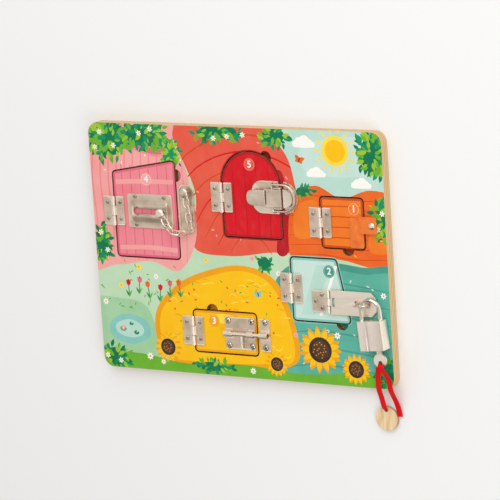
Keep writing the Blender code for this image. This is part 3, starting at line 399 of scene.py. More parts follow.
def between(before, start, end, after, t):
    """A point of the smooth curve through four places, a share of the way from the second to the third."""
    return (2 * start + (end - before) * t + (2 * before - 5 * start + 4 * end - after) * t ** 2
            + (3 * start - before - 3 * end + after) * t ** 3) / 2


def smooth_route(route, steps):
    """Points along a smooth curve through the route's own points."""
    places = [Vector(point) for point in route]
    places = [2 * places[0] - places[1], *places, 2 * places[-1] - places[-2]]
    return [*[between(*places[n - 1:n + 3], step / steps)
              for n in range(1, len(places) - 2) for step in range(steps)], places[-2]]


def swept(name, route, profile, width_at):
    """A profile of (across, up) points carried along a route, with capped ends and a UV map in metres."""
    builder = bmesh.new()
    layout = builder.loops.layers.uv.new("layout")
    rows, lengths = [], []
    for n, point in enumerate(route):
        along = (route[min(n + 1, len(route) - 1)] - route[max(n - 1, 0)]).normalized()
        side = Vector((1, 0, 0))
        side = (side - side.dot(along) * along).normalized()
        up = along.cross(side)
        lengths.append(lengths[-1] + (point - route[n - 1]).length if n else 0.0)
        rows.append([builder.verts.new(point + side * across * width_at(n) + up * height)
                     for across, height in profile])
    sides = len(profile)
    around = [0.0]
    for m in range(sides):
        around.append(around[-1] + (Vector(profile[(m + 1) % sides]) - Vector(profile[m])).length)
    for n in range(len(rows) - 1):
        for m in range(sides):
            corners = ((n, m), (n, m + 1), (n + 1, m + 1), (n + 1, m))
            face = builder.faces.new([rows[i][j % sides] for i, j in corners])
            for loop, (i, j) in zip(face.loops, corners):
                loop[layout].uv = (around[j], lengths[i])
    builder.faces.new(rows[0][::-1])
    builder.faces.new(rows[-1])
    bmesh.ops.recalc_face_normals(builder, faces=builder.faces)
    return from_builder(name, builder, 50)


# Outlines of the board and its doors, in millimetres

corner_steps = 6
arch_steps = 28


def arc(x, y, across, up, start, end, steps):
    """Points along an arc of an ellipse, both its ends included."""
    return [(x + across * math.cos(a), y + up * math.sin(a))
            for a in (start + (end - start) * n / steps for n in range(steps + 1))]


def rounded_outline(left, bottom, right, top, radius):
    """A rectangle with round corners, anticlockwise."""
    corners = [(right - radius, top - radius), (left + radius, top - radius), (left + radius, bottom + radius),
               (right - radius, bottom + radius)]
    return [point for n, corner in enumerate(corners)
            for point in arc(*corner, radius, radius, n * quarter, (n + 1) * quarter, corner_steps)]


def grown(outline, distance):
    """The outline, which runs anticlockwise, moved outwards by a distance with mitred corners."""
    count = len(outline)
    moved = []
    for n in range(count):
        before, here, after = Vector(outline[n - 1]), Vector(outline[n]), Vector(outline[(n + 1) % count])
        first, second = (here - before).normalized(), (after - here).normalized()
        normal = Vector((first.y, -first.x)) + Vector((second.y, -second.x))
        moved.append(tuple(here + normal.normalized() * distance / max(normal.length / 2, 0.2)))
    return moved


def softened(outline, radius):
    """The outline, which runs anticlockwise, with its sharp corners made round."""
    count = len(outline)
    points = []
    for n in range(count):
        here = Vector(outline[n])
        before = (Vector(outline[n - 1]) - here).normalized()
        after = (Vector(outline[(n + 1) % count]) - here).normalized()
        turn = math.pi - before.angle(after)
        if turn < math.radians(30):
            points.append(tuple(here))
            continue
        centre = here + (before + after).normalized() * radius / math.cos(turn / 2)
        start = here + before * radius * math.tan(turn / 2) - centre
        for step in range(corner_steps + 1):
            points.append(tuple(centre + Matrix.Rotation(turn * step / corner_steps, 2) @ start))
    return points


def door_outline(number):
    left, bottom, width, height = [1000 * v for v in door_places[number]]
    right, top = left + width, bottom + height
    shape = [(left, bottom), (right, bottom), (right, top), (left, top)]
    if number == 2:
        shape[2] = (right - 1000 * door_2_top_inset, top)
    if number == 4:
        shape[2] = (right, top + 1000 * door_4_roof_rise)
    if number == 5:
        shape[2:] = arc((left + right) / 2, top, width / 2, 1000 * door_5_arch_rise, 0, math.pi, arch_steps)
    return softened(shape, 1000 * door_corner_radius)


# The printed picture: flat shapes in millimetres, painted in order, so that a later one covers an earlier one

chance = random.Random(5)
picture = []
leaf_steps = 7
seeds, golden_angle = 26, 2.39996
sun_x, sun_y = 104, 95


def put(ink, outline):
    area = sum(a[0] * b[1] - b[0] * a[1] for a, b in zip(outline, outline[1:] + outline[:1]))
    picture.append((ink, outline if area > 0 else outline[::-1]))


def turned(points, x, y, angle):
    cosine, sine = math.cos(angle), math.sin(angle)
    return [(x + a * cosine - b * sine, y + a * sine + b * cosine) for a, b in points]


def disc(x, y, across, up=None, turn=0.0, steps=18):
    up = across if up is None else up
    return turned(arc(0, 0, across, up, 0, 2 * math.pi, steps)[:-1], x, y, turn)


def notch(x, y, grow):
    """A finger notch's outline about its middle, which is in metres."""
    return disc(x * 1000, y * 1000, notch_radius * 1000 + grow, steps=36)


def leaf(x, y, length, width, turn, bend=0.0):
    """A pointed leaf from its stem end."""
    lower, upper = [[(length * t, side * width / 2 * math.sin(math.pi * t ** 0.85) + bend * math.sin(math.pi * t))
                     for t in (n / leaf_steps for n in range(1, leaf_steps))] for side in (-1, 1)]
    return turned([(0, 0), *lower, (length, 0), *upper[::-1]], x, y, turn)


def rounded(points, steps=6):
    """A closed smooth outline through the points."""
    places = [Vector(point) for point in points]
    return [tuple(between(*[places[(n + k) % len(places)] for k in (-1, 0, 1, 2)], step / steps))
            for n in range(len(places)) for step in range(steps)]


def stroke(points, width, steps=5, even=False):
    """A brush stroke along a smooth line; it thins towards its ends unless it is even."""
    line = smooth_route([(*p, 0) for p in points], steps)
    left, right = [], []
    for n, point in enumerate(line):
        along = (line[min(n + 1, len(line) - 1)] - line[max(n - 1, 0)]).normalized()
        share = 1 if even else 0.35 + 0.65 * math.sin(math.pi * n / (len(line) - 1))
        side = Vector((-along.y, along.x, 0)) * width / 2 * share
        left.append(tuple((point + side).xy))
        right.append(tuple((point - side).xy))
    return right + left[::-1]


def patch(ink, points):
    put(ink, rounded(points))


def line(ink, *route, **how):
    put(ink, stroke(*route, **how))


def bush(x, y, across, up, count, size, greens=("pine", "leaf", "fern", "lime")):
    """A clump of leaves, dark ones behind and light ones in front."""
    put(greens[0], rounded([(x + across * 0.86 * math.cos(a) * chance.uniform(0.85, 1.1),
                             y + up * 0.86 * math.sin(a) * chance.uniform(0.85, 1.1))
                            for a in (2 * math.pi * n / 9 for n in range(9))], 3))
    for n in range(count):
        share = n / count
        angle, reach = chance.uniform(0, 2 * math.pi), math.sqrt(chance.random()) * (1.05 - 0.35 * share)
        spot = (x + across * reach * math.cos(angle), y + up * reach * math.sin(angle))
        ink = greens[min(len(greens) - 1, int(chance.triangular(0, len(greens), share * len(greens))))]
        length = size * chance.uniform(0.75, 1.25)
        put(ink, leaf(*spot, length, length * 0.46, angle + chance.uniform(-0.9, 0.9), chance.uniform(-0.4, 0.4)))


def off(x, y, reach, angle):
    """A place that lies a reach away from another."""
    return x + reach * math.cos(angle), y + reach * math.sin(angle)


def daisy(x, y, radius, petal="white", centre="amber", count=8):
    start = chance.random()
    for n in range(count):
        angle = 2 * math.pi * (n + start) / count
        put(petal, disc(*off(x, y, radius * 0.58, angle), radius * 0.46, radius * 0.23, angle, 10))
    put(centre, disc(x, y, radius * 0.30, steps=12))


def sunflower(x, y, radius):
    for ring, (petal, count) in enumerate((("honey", 15), ("amber", 13))):
        for n in range(count):
            angle = 2 * math.pi * (n + ring / 2) / count
            stem = off(x, y, radius * (0.42 - 0.04 * ring), angle)
            put(petal, leaf(*stem, radius * (0.62 - 0.05 * ring), radius * 0.27, angle))
    put("bark", disc(x, y, radius * 0.55, steps=26))
    put("cocoa", disc(x, y, radius * 0.40, steps=22))
    for n in range(seeds):
        seed = off(x, y, radius * 0.36 * math.sqrt((n + 0.5) / seeds), n * golden_angle)
        put("honey" if n % 3 else "bark", disc(*seed, radius * 0.028, steps=6))


def tulip(x, y, size, ink, shade, turn=0.0):
    lean = math.sin(turn) * size * 1.6
    line("leaf", [(x, y), (x + lean * 0.4, y + size * 0.9), (x + lean, y + size * 1.7)], size * 0.16, even=True)
    for side in (-1, 1):
        put("fern" if side > 0 else "leaf",
            leaf(x, y, size * 1.15, size * 0.3, math.pi / 2 - side * 0.5, side * 0.3))
    top = (x + lean, y + size * 1.6)
    put(shade, leaf(*top, size * 1.05, size * 0.75, math.pi / 2 - turn))
    for side in (-1, 1):
        put(ink, leaf(top[0], top[1], size * 1.0, size * 0.5, math.pi / 2 - turn - side * 0.42,
                      side * 0.1 * size))


def cloud(x, y, size, ink="white"):
    for dx, dy, r in ((-1.5, 0, 0.6), (-0.75, 0.32, 0.85), (0.2, 0.5, 1.0), (1.05, 0.18, 0.75),
                      (1.75, -0.05, 0.5)):
        put(ink, disc(x + dx * size, y + dy * size, r * size, steps=20))
    put(ink, rounded([(x - 2.0 * size, y - 0.45 * size), (x, y - 0.62 * size), (x + 2.1 * size, y - 0.42 * size),
                      (x + 1.5 * size, y + 0.2 * size), (x - 1.5 * size, y + 0.2 * size)], 4))


def butterfly(x, y, size, ink, turn):
    for side in (-1, 1):
        for reach, width, angle in ((1.0, 0.62, 0.55), (0.75, 0.55, -0.55)):
            put(ink, leaf(x, y, size * reach, size * width, turn + (angle if side > 0 else math.pi - angle)))
    put("bark", disc(x, y, size * 0.10, size * 0.45, turn, 8))


def scatter(spots, ink, length, width):
    for x, y in spots:
        put(ink, leaf(x, y, length * chance.uniform(0.7, 1.2), width, chance.uniform(0, 2 * math.pi)))


def within(left, right, low, high, count):
    return [(chance.uniform(left, right), chance.uniform(low, high)) for _ in range(count)]


def paint_fields():
    """The ground: patches of a garden, each with its own furrows."""
    put("mint", [(-160, -120), (160, -120), (160, 120), (-160, 120)])
    patch("coral", [(-46, 4), (-10, -3), (30, 2), (64, 8), (70, 52), (58, 84), (34, 125), (-64, 125), (-56, 92),
                    (-40, 50)])
    for n in range(7):
        r = 22 + 14 * n
        line("red" if n % 2 else "ember",
             [(14 + r * 1.02 * math.cos(a), -8 + r * 1.08 * math.sin(a))
              for a in (math.pi * (0.12 + 0.19 * k) for k in range(5))], 1.6)
    patch("ice", [(68, 50), (100, 46), (165, 48), (165, 125), (90, 128), (34, 126), (57, 86)])
    patch("frost", [(72, 78), (104, 72), (150, 78), (162, 98), (120, 108), (72, 98)])
    put("lemon", disc(sun_x, sun_y, 13.5, steps=32))
    put("amber", disc(sun_x, sun_y, 9.8, steps=32))
    for n in range(14):
        a = 2 * math.pi * n / 14
        put("lemon", leaf(*off(sun_x, sun_y, 15, a), 5.5, 2.2, a))
    cloud(73, 100, 5.2)
    cloud(84, 74, 4.4)
    cloud(128, 66, 4.6)
    patch("blush", [(-165, -12), (-128, -17), (-92, -12), (-62, -19), (-42, 14), (-47, 66), (-60, 100),
                    (-66, 125), (-165, 125)])
    for n in range(12):
        x, rise = -148 + 8.6 * n, 118 if n < 10 else 78
        line("pink", [(x, -12), (x + 1.2, 22), (x - 1.0, rise / 2), (x + 1.0, rise * 0.75), (x, rise)], 1.5)
    line("rose", [(-165, 88), (-120, 96), (-80, 88), (-62, 93)], 5.5, even=True)
    line("pink", [(-165, 84), (-120, 92), (-80, 84), (-60, 89)], 1.4, even=True)
    patch("crimson", [(40, 4), (52, 4), (57, 40), (50, 74), (42, 70), (47, 40)])
    patch("orange", [(56, -5), (100, 0), (165, -7), (165, 50), (138, 62), (108, 54), (82, 64), (58, 50)])
    for n in range(7):
        y = 2 + 8.6 * n
        line("ember", [(52, y), (84, y + 1.5), (118, y - 1.5), (165, y + 0.5)], 0.9)
    patch("tangerine", [(60, 18), (82, 22), (83, 50), (62, 44)])
    patch("tangerine", [(134, 8), (156, 10), (158, 30), (136, 28)])


def paint_front():
    """The nearer ground, below the fields."""
    patch("lagoon", [(36, -125), (31, -78), (34, -30), (52, -8), (84, -3), (124, -6), (165, -14), (165, -125)])
    patch("teal", [(42, -125), (38, -76), (41, -33), (56, -14), (86, -9), (124, -12), (165, -20), (165, -125)])
    for n in range(6):
        y = -100 + 15 * n
        line("lagoon", [(40, y), (74, y + 5), (112, y + 3), (160, y - 3)], 1.8)
    patch("sage", [(-165, -56), (-128, -48), (-96, -60), (-92, -125), (-165, -125)])
    patch("honey", [(-84, -98), (-91, -60), (-66, -32), (-32, -17), (4, -11), (36, -22), (53, -58), (55, -94),
                    (20, -103), (-40, -105)])
    patch("amber", [(-80, -97), (-86, -61), (-62, -36), (-30, -22), (4, -16), (32, -27), (48, -60), (50, -94),
                    (20, -99), (-40, -101)])
    for x, y in within(-74, 44, -92, -24, 60):
        line(chance.choice(("lemon", "honey", "lemon")),
             [(x, y), (x + 4, y + chance.uniform(-2, 3)), (x + 8, y + chance.uniform(-3, 3))], 1.0, 3)
    patch("fern", [(-165, -101), (-110, -98), (-60, -104), (0, -101), (60, -105), (120, -100), (165, -103),
                   (165, -125), (-165, -125)])
    patch("sky", [(-140, -70), (-122, -62), (-101, -68), (-99, -82), (-118, -90), (-139, -84)])
    patch("ice", [(-134, -72), (-120, -67), (-107, -72), (-106, -80), (-119, -84), (-133, -80)])
    for x, y, r in ((-127, -76, 3.4), (-113, -79, 2.8), (-118, -71, 2.3)):
        put("leaf", disc(x, y, r, r * 0.72, steps=14))
        put("ice", leaf(x, y, r * 1.1, r * 0.5, 0.9))
    daisy(-127, -75.2, 2.6, "blush", "lemon", 7)


def paint_doors():
    plain = {1: "tangerine", 2: "frost", 3: "amber", 4: "pink", 5: "red"}
    rim = {1: "ember", 2: "sky", 3: "honey", 4: "rose", 5: "crimson"}
    corners = {number: (1000 * x, 1000 * y) for number, (x, y, *_) in door_places.items()}
    for number in door_places:
        shape = door_outline(number)
        put(rim[number], grown(shape, 1.5 if number in (2, 5) else 0.2))
        put(plain[number], grown(shape, -2.6))
    x, y = corners[4]
    for n in range(1, 7):
        line("rose", [(x + 9.6 * n, y + 1), (x + 9.6 * n + 0.5, y + 40), (x + 9.6 * n, y + 84)], 0.9, even=True)
    for n in range(2):
        line("blush", [(x + 3, y + 8 + 60 * n), (x + 33, y + 9.5 + 60 * n), (x + 64, y + 8 + 62 * n)], 4.2,
             even=True)
    x, y = corners[1]
    for n in range(1, 5):
        line("ember", [(x + 1, y + 9.2 * n), (x + 21, y + 9.2 * n + 0.6), (x + 42, y + 9.2 * n)], 0.9, even=True)
    x, y = corners[2]
    put("ice", [(x + 8, y + 6), (x + 22, y + 6), (x + 40, y + 51), (x + 26, y + 51)])
    put("white", [(x + 26, y + 6), (x + 29, y + 6), (x + 47, y + 51), (x + 44, y + 51)])
    x, y = corners[5]
    for n in range(1, 5):
        line("crimson", [(x + 12 * n, y + 3), (x + 12 * n + 0.4, y + 36), (x + 12 * n, y + 68)], 0.8, even=True)
    x, y = corners[3]
    patch("lemon", [(x + 16, y + 32), (x + 30, y + 36), (x + 46, y + 33), (x + 40, y + 28), (x + 22, y + 28)])


def paint_plants():
    bush(-128, 98, 26, 17, 110, 8.0)
    bush(-90, 103, 26, 12, 90, 7.5)
    bush(-64, 84, 9, 15, 44, 6.0, ("leaf", "fern", "lime"))
    bush(-14, 108, 24, 8, 70, 7.0)
    bush(44, 106, 13, 9, 44, 6.5)
    bush(142, 94, 15, 20, 110, 7.5)
    bush(147, 36, 9, 17, 56, 7.0)
    bush(70, 58, 9, 5, 14, 5.0, ("pine", "leaf", "fern"))
    bush(-143, 2, 9, 17, 56, 6.5)
    bush(-138, -103, 17, 10, 70, 7.0)
    bush(-34, -105, 20, 5, 46, 6.0)
    bush(144, -98, 9, 12, 44, 6.5, ("pine", "leaf", "fern"))
    bush(26, -8, 8, 7, 14, 5.0, ("pine", "leaf", "fern"))
    for x, y in ((-138, 104), (-124, 92), (-144, 90), (-96, 104), (-84, 108), (-4, 104), (-18, 102), (12, 106),
                 (147, 42), (142, 28), (-144, 12), (-138, -4), (-146, -102), (-132, -106)):
        daisy(x, y, 2.7, "white", "amber", 6)
    for n, x in enumerate(range(-118, -60, 11)):
        tulip(x, -46 + 3 * math.sin(n * 1.7), 6.2, ("red", "rose", "orange")[n % 3],
              ("crimson", "red", "ember")[n % 3], 0.12 * math.sin(n * 2.3))
    for x, y, r in ((-106, -18, 3.2), (-88, -26, 2.6), (-60, -10, 3.0), (-34, -8, 2.6), (-126, -36, 3.0),
                    (14, -4, 2.4), (40, -16, 2.6), (-144, -52, 3.0), (-100, -100, 3.4), (-86, -104, 2.6),
                    (96, -68, 3.2), (54, -70, 2.6), (8, -106, 3.0), (144, -30, 2.8), (58, -24, 2.6)):
        daisy(x, y, r, chance.choice(("white", "blush", "white", "lemon")), "honey", 7)
    scatter(within(-150, -60, -58, -14, 26), "fern", 4.4, 1.2)
    scatter(within(-74, 42, -78, -26, 22), "orange", 3.4, 1.7)
    scatter(within(-70, 40, -70, -26, 14), "fern", 3.2, 1.4)
    scatter(within(50, 140, -100, -14, 22), "frost", 3.4, 1.3)
    scatter(within(92, 148, 2, 56, 14), "amber", 3.0, 1.3)
    scatter(within(-60, 60, 6, 100, 22), "blush", 3.6, 1.4)
    scatter(within(-150, -50, 20, 84, 18), "cream", 3.2, 1.3)
    sunflower(78, -82, 21.0)
    sunflower(113, -97, 14.0)
    sunflower(33, -98, 11.5)
    sunflower(-80, -90, 14.0)
    butterfly(-52, 30, 6.5, "amber", 0.4)
    butterfly(68, 86, 6.0, "orange", -0.3)
    butterfly(18, -36, 5.5, "sky", 0.2)


def paint_badges():
    ground = {1: "tangerine", 2: "lagoon", 3: "honey", 4: "blush", 5: "coral"}
    ring = {1: "cream", 2: "frost", 3: "lemon", 4: "cream", 5: "blush"}
    for number, (x, y) in badge_centres.items():
        put(ground[number], disc(x * 1000, y * 1000, 5.7, steps=30))
        for n in range(22):
            a = 2 * math.pi * n / 22
            put(ring[number], disc(*off(x * 1000, y * 1000, 4.9, a), 0.33, steps=6))


def printed_films(shapes, regions, bottom, top):
    """Cuts the shapes to each region's outlines; a region is (name, outlines that hold it, outlines left out)."""
    points, faces = [], []

    def add(outline):
        faces.append(range(len(points), len(points) + len(outline)))
        points.extend(Vector(p) for p in outline)
        return len(faces) - 1

    for _, outline in shapes:
        add(outline)
    masks = [(name, {add(o) for o in held}, {add(o) for o in left_out}) for name, held, left_out in regions]
    places, _, triangles, _, _, sources = delaunay_2d_cdt(points, [], [list(f) for f in faces], 1, 1e-5, True)
    films = {name: [] for name, _, _ in regions}
    for triangle, owners in zip(triangles, sources):
        owners = set(owners)
        painted = [n for n in owners if n < len(shapes)]
        if not painted:
            continue
        for name, held, left_out in masks:
            if held <= owners and not left_out & owners:
                films[name].append((triangle, shapes[max(painted)][0]))
    return {name: closed_film(name, places, pieces, bottom, top) for name, pieces in films.items()}


def closed_film(name, places, pieces, bottom, top):
    """A thin closed sheet from flat triangles, with each face's ink in its attribute."""
    builder = bmesh.new()
    ink = builder.loops.layers.float_color.new("ink")
    levels = [{}, {}]

    def corner(level, n):
        if n not in levels[level]:
            height = (bottom, top)[level]
            levels[level][n] = builder.verts.new((places[n].x / 1000, places[n].y / 1000, height))
        return levels[level][n]

    def face(corners, colour):
        made = builder.faces.new(corners)
        for loop in made.loops:
            loop[ink] = colour

    seen = {}
    for triangle, colour in pieces:
        a, b, c = [places[n] for n in triangle]
        if (b.x - a.x) * (c.y - a.y) - (b.y - a.y) * (c.x - a.x) < 0:
            triangle = triangle[::-1]
        colour = linear(inks[colour])
        face([corner(1, n) for n in triangle], colour)
        face([corner(0, n) for n in reversed(triangle)], colour)
        for n in range(3):
            seen[(triangle[n], triangle[(n + 1) % 3])] = colour
    for (start, end), colour in seen.items():
        if (end, start) not in seen:
            face([corner(0, start), corner(0, end), corner(1, end), corner(1, start)], colour)
    return from_builder(name, builder, None)


def board_print():
    paint_fields()
    paint_front()
    paint_plants()
    paint_doors()
    paint_badges()
    margin = print_margin * 1000
    half_kerf = kerf * 500
    right, top = 1000 * half_width - margin, 1000 * half_height - margin
    outline = rounded_outline(-right, -top, right, top, 1000 * corner_radius - margin)
    openings = [grown(door_outline(n), half_kerf + margin) for n in door_places]
    notches = [notch(*centre, margin) for centre in notch_centres]
    regions = [("front_print", [outline], openings + notches)]
    regions += [(f"door_{n}_print", [grown(door_outline(n), -half_kerf - margin)], []) for n in door_places]
    films = printed_films(picture, regions, panel_top - print_sink, panel_top + print_thickness)
    for name, mesh in films.items():
        body = "frame" if name == "front_print" else name.replace("print", "body")
        finished(name, mesh, body, "ink")


# The camera at the photograph's angle

camera_turn = Matrix.Identity(3)
for degrees, axis in ((3.67, "Z"), (11.61, "X"), (-31.89, "Y")):
    camera_turn = camera_turn @ Matrix.Rotation(math.radians(degrees), 3, axis)
camera_offset = Vector((0.0105, 0.0029, 2.7883))
camera_data = bpy.data.cameras.new("camera")
camera_data.lens, camera_data.sensor_width, camera_data.clip_end = 228.6, 36, 50
camera = added("camera", camera_data)
place = camera_turn.transposed() @ camera_offset + Vector((0, 0, panel_top))
camera.matrix_world = Matrix.Translation(place) @ camera_turn.transposed().to_4x4()
scene.camera = camera


# The ribbon through the key, which holds the tag

def ribbon():
    route = smooth_route(ribbon_route, 6)
    half, thin = ribbon_width / 2, ribbon_thickness / 2
    lower = [(-half, -thin * 0.6), (-half * 0.94, -thin), (0, -thin), (half * 0.94, -thin), (half, -thin * 0.6)]
    profile = lower + [(across, -up) for across, up in reversed(lower)]
    hole = Vector(ribbon_route[9])

    def gathered(n):
        """The ribbon's share of its width, less where it passes the key's hole and at its knotted start."""
        distance = (route[n] - hole).length
        start = (route[n] - route[0]).length
        return 1 - 0.28 * math.exp(-(distance / 0.0035) ** 2) - 0.25 * math.exp(-(start / 0.004) ** 2)

    mesh = swept("woven_ribbon", route, profile, gathered)
    piece = finished("woven_ribbon", mesh, "padlock_body", "ribbon")
    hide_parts("key_ribbon")


ribbon()
board_print()


# Flat pieces with soft edges

def pressed_plate(name, outlines, bottom, top, edge):
    """A plate whose edges are rounded; outlines, in metres, after the first are holes."""
    curve = bpy.data.curves.new(name, "CURVE")
    curve.dimensions, curve.fill_mode = "2D", "BOTH"
    curve.extrude = (top - bottom) / 2 - edge
    curve.bevel_depth, curve.bevel_resolution, curve.offset = edge, 2, -edge
    for outline in outlines:
        spline = curve.splines.new("POLY")
        spline.points.add(len(outline) - 1)
        for point, (x, y) in zip(spline.points, outline):
            point.co = (x, y, 0, 1)
        spline.use_cyclic_u = True
    return from_builder(name, welded(evaluated(name, added(name, curve)), 0.000002, (0, 0, (bottom + top) / 2)),
                        40)


def metres(outline):
    return [(x / 1000, y / 1000) for x, y in outline]


# Screws and stitches, set out by geometry nodes

class Steps(Graph):
    """A geometry node tree under construction, with the places that it works on and its named inputs."""

    def __init__(self, name, **inputs):
        super().__init__(bpy.data.node_groups.new(name, "GeometryNodeTree"))
        for label, kind in {"Places": "Geometry", **inputs}.items():
            self.tree.interface.new_socket(label, in_out="INPUT", socket_type="NodeSocket" + kind)
        self.tree.interface.new_socket("Geometry", in_out="OUTPUT", socket_type="NodeSocketGeometry")
        self.given = self.node("NodeGroupInput").outputs

    def mesh(self, kind, **named):
        return self.node("GeometryNodeMesh" + kind, **named).outputs["Mesh"]

    def geometry(self, kind, **named):
        return self.node("GeometryNode" + kind, **named).outputs["Geometry"]

    def times(self, *values):
        return self.sum("MULTIPLY", *values)

    def vector(self, *values):
        return self.node("ShaderNodeCombineXYZ", *values).outputs[0]

    def raised(self, geometry, height):
        return self.geometry("Transform", Geometry=geometry, Translation=self.vector(0, 0, height))

    def cone(self, bottom, top, depth):
        return self.mesh("Cone", Vertices=28, Radius_Top=top, Radius_Bottom=bottom, Depth=depth)

    def crossed(self, reach, width, depth, height):
        """Two bars across each other."""
        return [self.raised(self.mesh("Cube", Size=self.vector(*size)), height)
                for size in ((reach, width, depth), (width, reach, depth))]

    def boolean(self, operation, parts, **first):
        made = self.node("GeometryNodeMeshBoolean", operation=operation, **first)
        for part in parts:
            self.fill(made.inputs["Mesh 2"], part)
        return made.outputs["Mesh"]

    def painted(self, geometry, material):
        return self.geometry("SetMaterial", Geometry=geometry, Material=materials[material])

    def spread(self, points, piece, rotation):
        copies = self.node("GeometryNodeInstanceOnPoints", Points=points, Instance=piece, Rotation=rotation)
        return self.geometry("RealizeInstances", Geometry=copies.outputs["Instances"])

    def result(self, geometry):
        self.node("NodeGroupOutput", Geometry=geometry)
        return self.tree


def screw_tree():
    """Low domed heads with a cross recess, each turned its own way."""
    tree = Steps("cross_head_screws", Radius="Float", Height="Float", Cross="Float", Rim="Float", Seed="Int")
    times = tree.times
    radius, height, cross, rim, seed = [tree.given[name] for name in ("Radius", "Height", "Cross", "Rim", "Seed")]
    layers = [tree.raised(tree.cone(times(radius, wide), times(radius, narrow), times(height, high - low + 0.02)),
                          times(height, low - 0.01))
              for low, high, wide, narrow in ((0.0, 0.45, 1.0, 0.97), (0.45, 0.8, 0.97, 0.82),
                                              (0.8, 1.0, 0.82, 0.62))]
    wide = times(cross, 0.22)
    arms = tree.crossed(cross, wide, times(height, 0.8), times(height, 1.06))
    cut = tree.boolean("DIFFERENCE", arms, Mesh_1=tree.boolean("UNION", layers))
    # Painted shade: dark bars at the bottom of the cross recess.
    dark = tree.boolean("UNION", tree.crossed(times(cross, 0.97), times(wide, 0.9), times(height, 0.06),
                                              times(height, 0.68)))
    # Painted shadow: a thin dark ring just wider than the head, for the shade in the gap round it.
    outer = tree.sum("ADD", radius, rim)
    both = tree.node("GeometryNodeJoinGeometry")
    for mesh, material in ((cut, "screw"), (tree.cone(outer, outer, times(height, 0.08)), "recess"),
                           (dark, "recess")):
        tree.fill(both.inputs["Geometry"], tree.painted(mesh, material))
    turn = tree.node("FunctionNodeRandomValue", data_type="FLOAT", Max=quarter, Seed=seed).outputs["Value"]
    return tree.result(tree.spread(tree.given["Places"], both.outputs["Geometry"], tree.vector(0, 0, turn)))


def stitch_tree():
    """Short thread stitches along a line, each a little above the leather."""
    tree = Steps("running_stitches", Length="Float", Gap="Float", Thickness="Float")
    length, gap, thickness = [tree.given[name] for name in ("Length", "Gap", "Thickness")]
    line = tree.node("GeometryNodeMeshToCurve", Mesh=tree.given["Places"]).outputs["Curve"]
    spots = tree.node("GeometryNodeCurveToPoints", mode="LENGTH", Curve=line,
                      Length=tree.sum("ADD", length, gap)).outputs
    ball = tree.mesh("UVSphere", Segments=8, Rings=6, Radius=0.5)
    stitch = tree.geometry("Transform", Geometry=ball, Scale=tree.vector(thickness, thickness, length))
    return tree.result(tree.painted(tree.spread(spots["Points"], stitch, spots["Rotation"]), "thread"))


def set_out(name, places, edges, tree, values):
    """The mesh that a tree makes from places; values are its named inputs."""
    mesh = bpy.data.meshes.new(name)
    mesh.from_pydata(places, edges, [])
    source = added(name, mesh)
    step = source.modifiers.new(name, "NODES")
    step.node_group = tree
    for item in tree.interface.items_tree:
        if item.in_out == "INPUT" and item.name in values:
            step[item.identifier] = values[item.name]
    return smoothed(evaluated(name, source), 35)


def screws():
    tree = screw_tree()
    small, large = {}, {}
    ends = (-1, 1)
    for number, (x, *_) in door_places.items():
        for side, body in ((-1, "frame"), (1, f"door_{number}_body")):
            small.setdefault(body, []).extend((x + side * 0.0068, hinge_centres[number] + up * 0.0075, plate_top)
                                              for up in ends)
    hasp_x, hasp_y = 0.09013, -0.037898
    small["door_2_body"] += [(hasp_x - 0.0165 * across, hasp_y + 0.00975 * up, plate_top)
                             for across, up in ((0.42, 0.60), (0.80, 0.0), (0.42, -0.60))]
    tray_x, tray_y, flange_top = -0.088772, 0.03368, 0.0111
    small["door_4_body"] += [(tray_x + side * 0.015275, tray_y + up * 0.01275, flange_top)
                             for side in ends for up in ends]
    latch_y = 0.052014
    small["door_5_body"] += [(0.041301, latch_y + up * 0.01218, plate_top) for up in ends]
    small["frame"] += [(0.054096, latch_y + up * 0.012035, plate_top) for up in ends]
    bolt_left, bolt_right = -0.0176 + 0.0034, 0.0131 - 0.0034
    large["door_3_body"] = [(x, bolt_centre_y + up * 0.0112, plate_top) for x in (bolt_left, bolt_right)
                            for up in ends]
    large["frame"] = [(0.0234, bolt_centre_y + up * 0.0114, plate_top) for up in ends]
    for kind, places, first_seed, sizes in (
            ("screws", small, 0, {"Radius": 0.00205, "Height": 0.00095, "Cross": 0.0023, "Rim": 0.00008}),
            ("bolt_screws", large, 20, {"Radius": 0.0026, "Height": 0.00105, "Cross": 0.0032, "Rim": 0.0003})):
        for n, (body, spots) in enumerate(places.items()):
            name = f"{body}_{kind}"
            finished(name, set_out(name, spots, [], tree, {**sizes, "Seed": first_seed + n}), body, None)


# The numbers on the doors

def badge_numbers():
    for number, (x, y) in badge_centres.items():
        name, body = f"number_{number}", f"door_{number}_body"
        curve = bpy.data.curves.new(name, "FONT")
        curve.body, curve.size = str(number), 0.0086
        curve.align_x, curve.align_y = "CENTER", "CENTER"
        curve.extrude, curve.offset = 0.00002, 0.00018
        height = panel_top + print_thickness + 0.00002
        builder = welded(evaluated(name, added(name, curve)), 0.000001, (x, y, height))
        ink = builder.loops.layers.float_color.new("ink")
        for face in builder.faces:
            for loop in face.loops:
                loop[ink] = linear(inks["white"])
        finished(name, from_builder(name, builder, None), body, "ink")


# Door 1: the strap

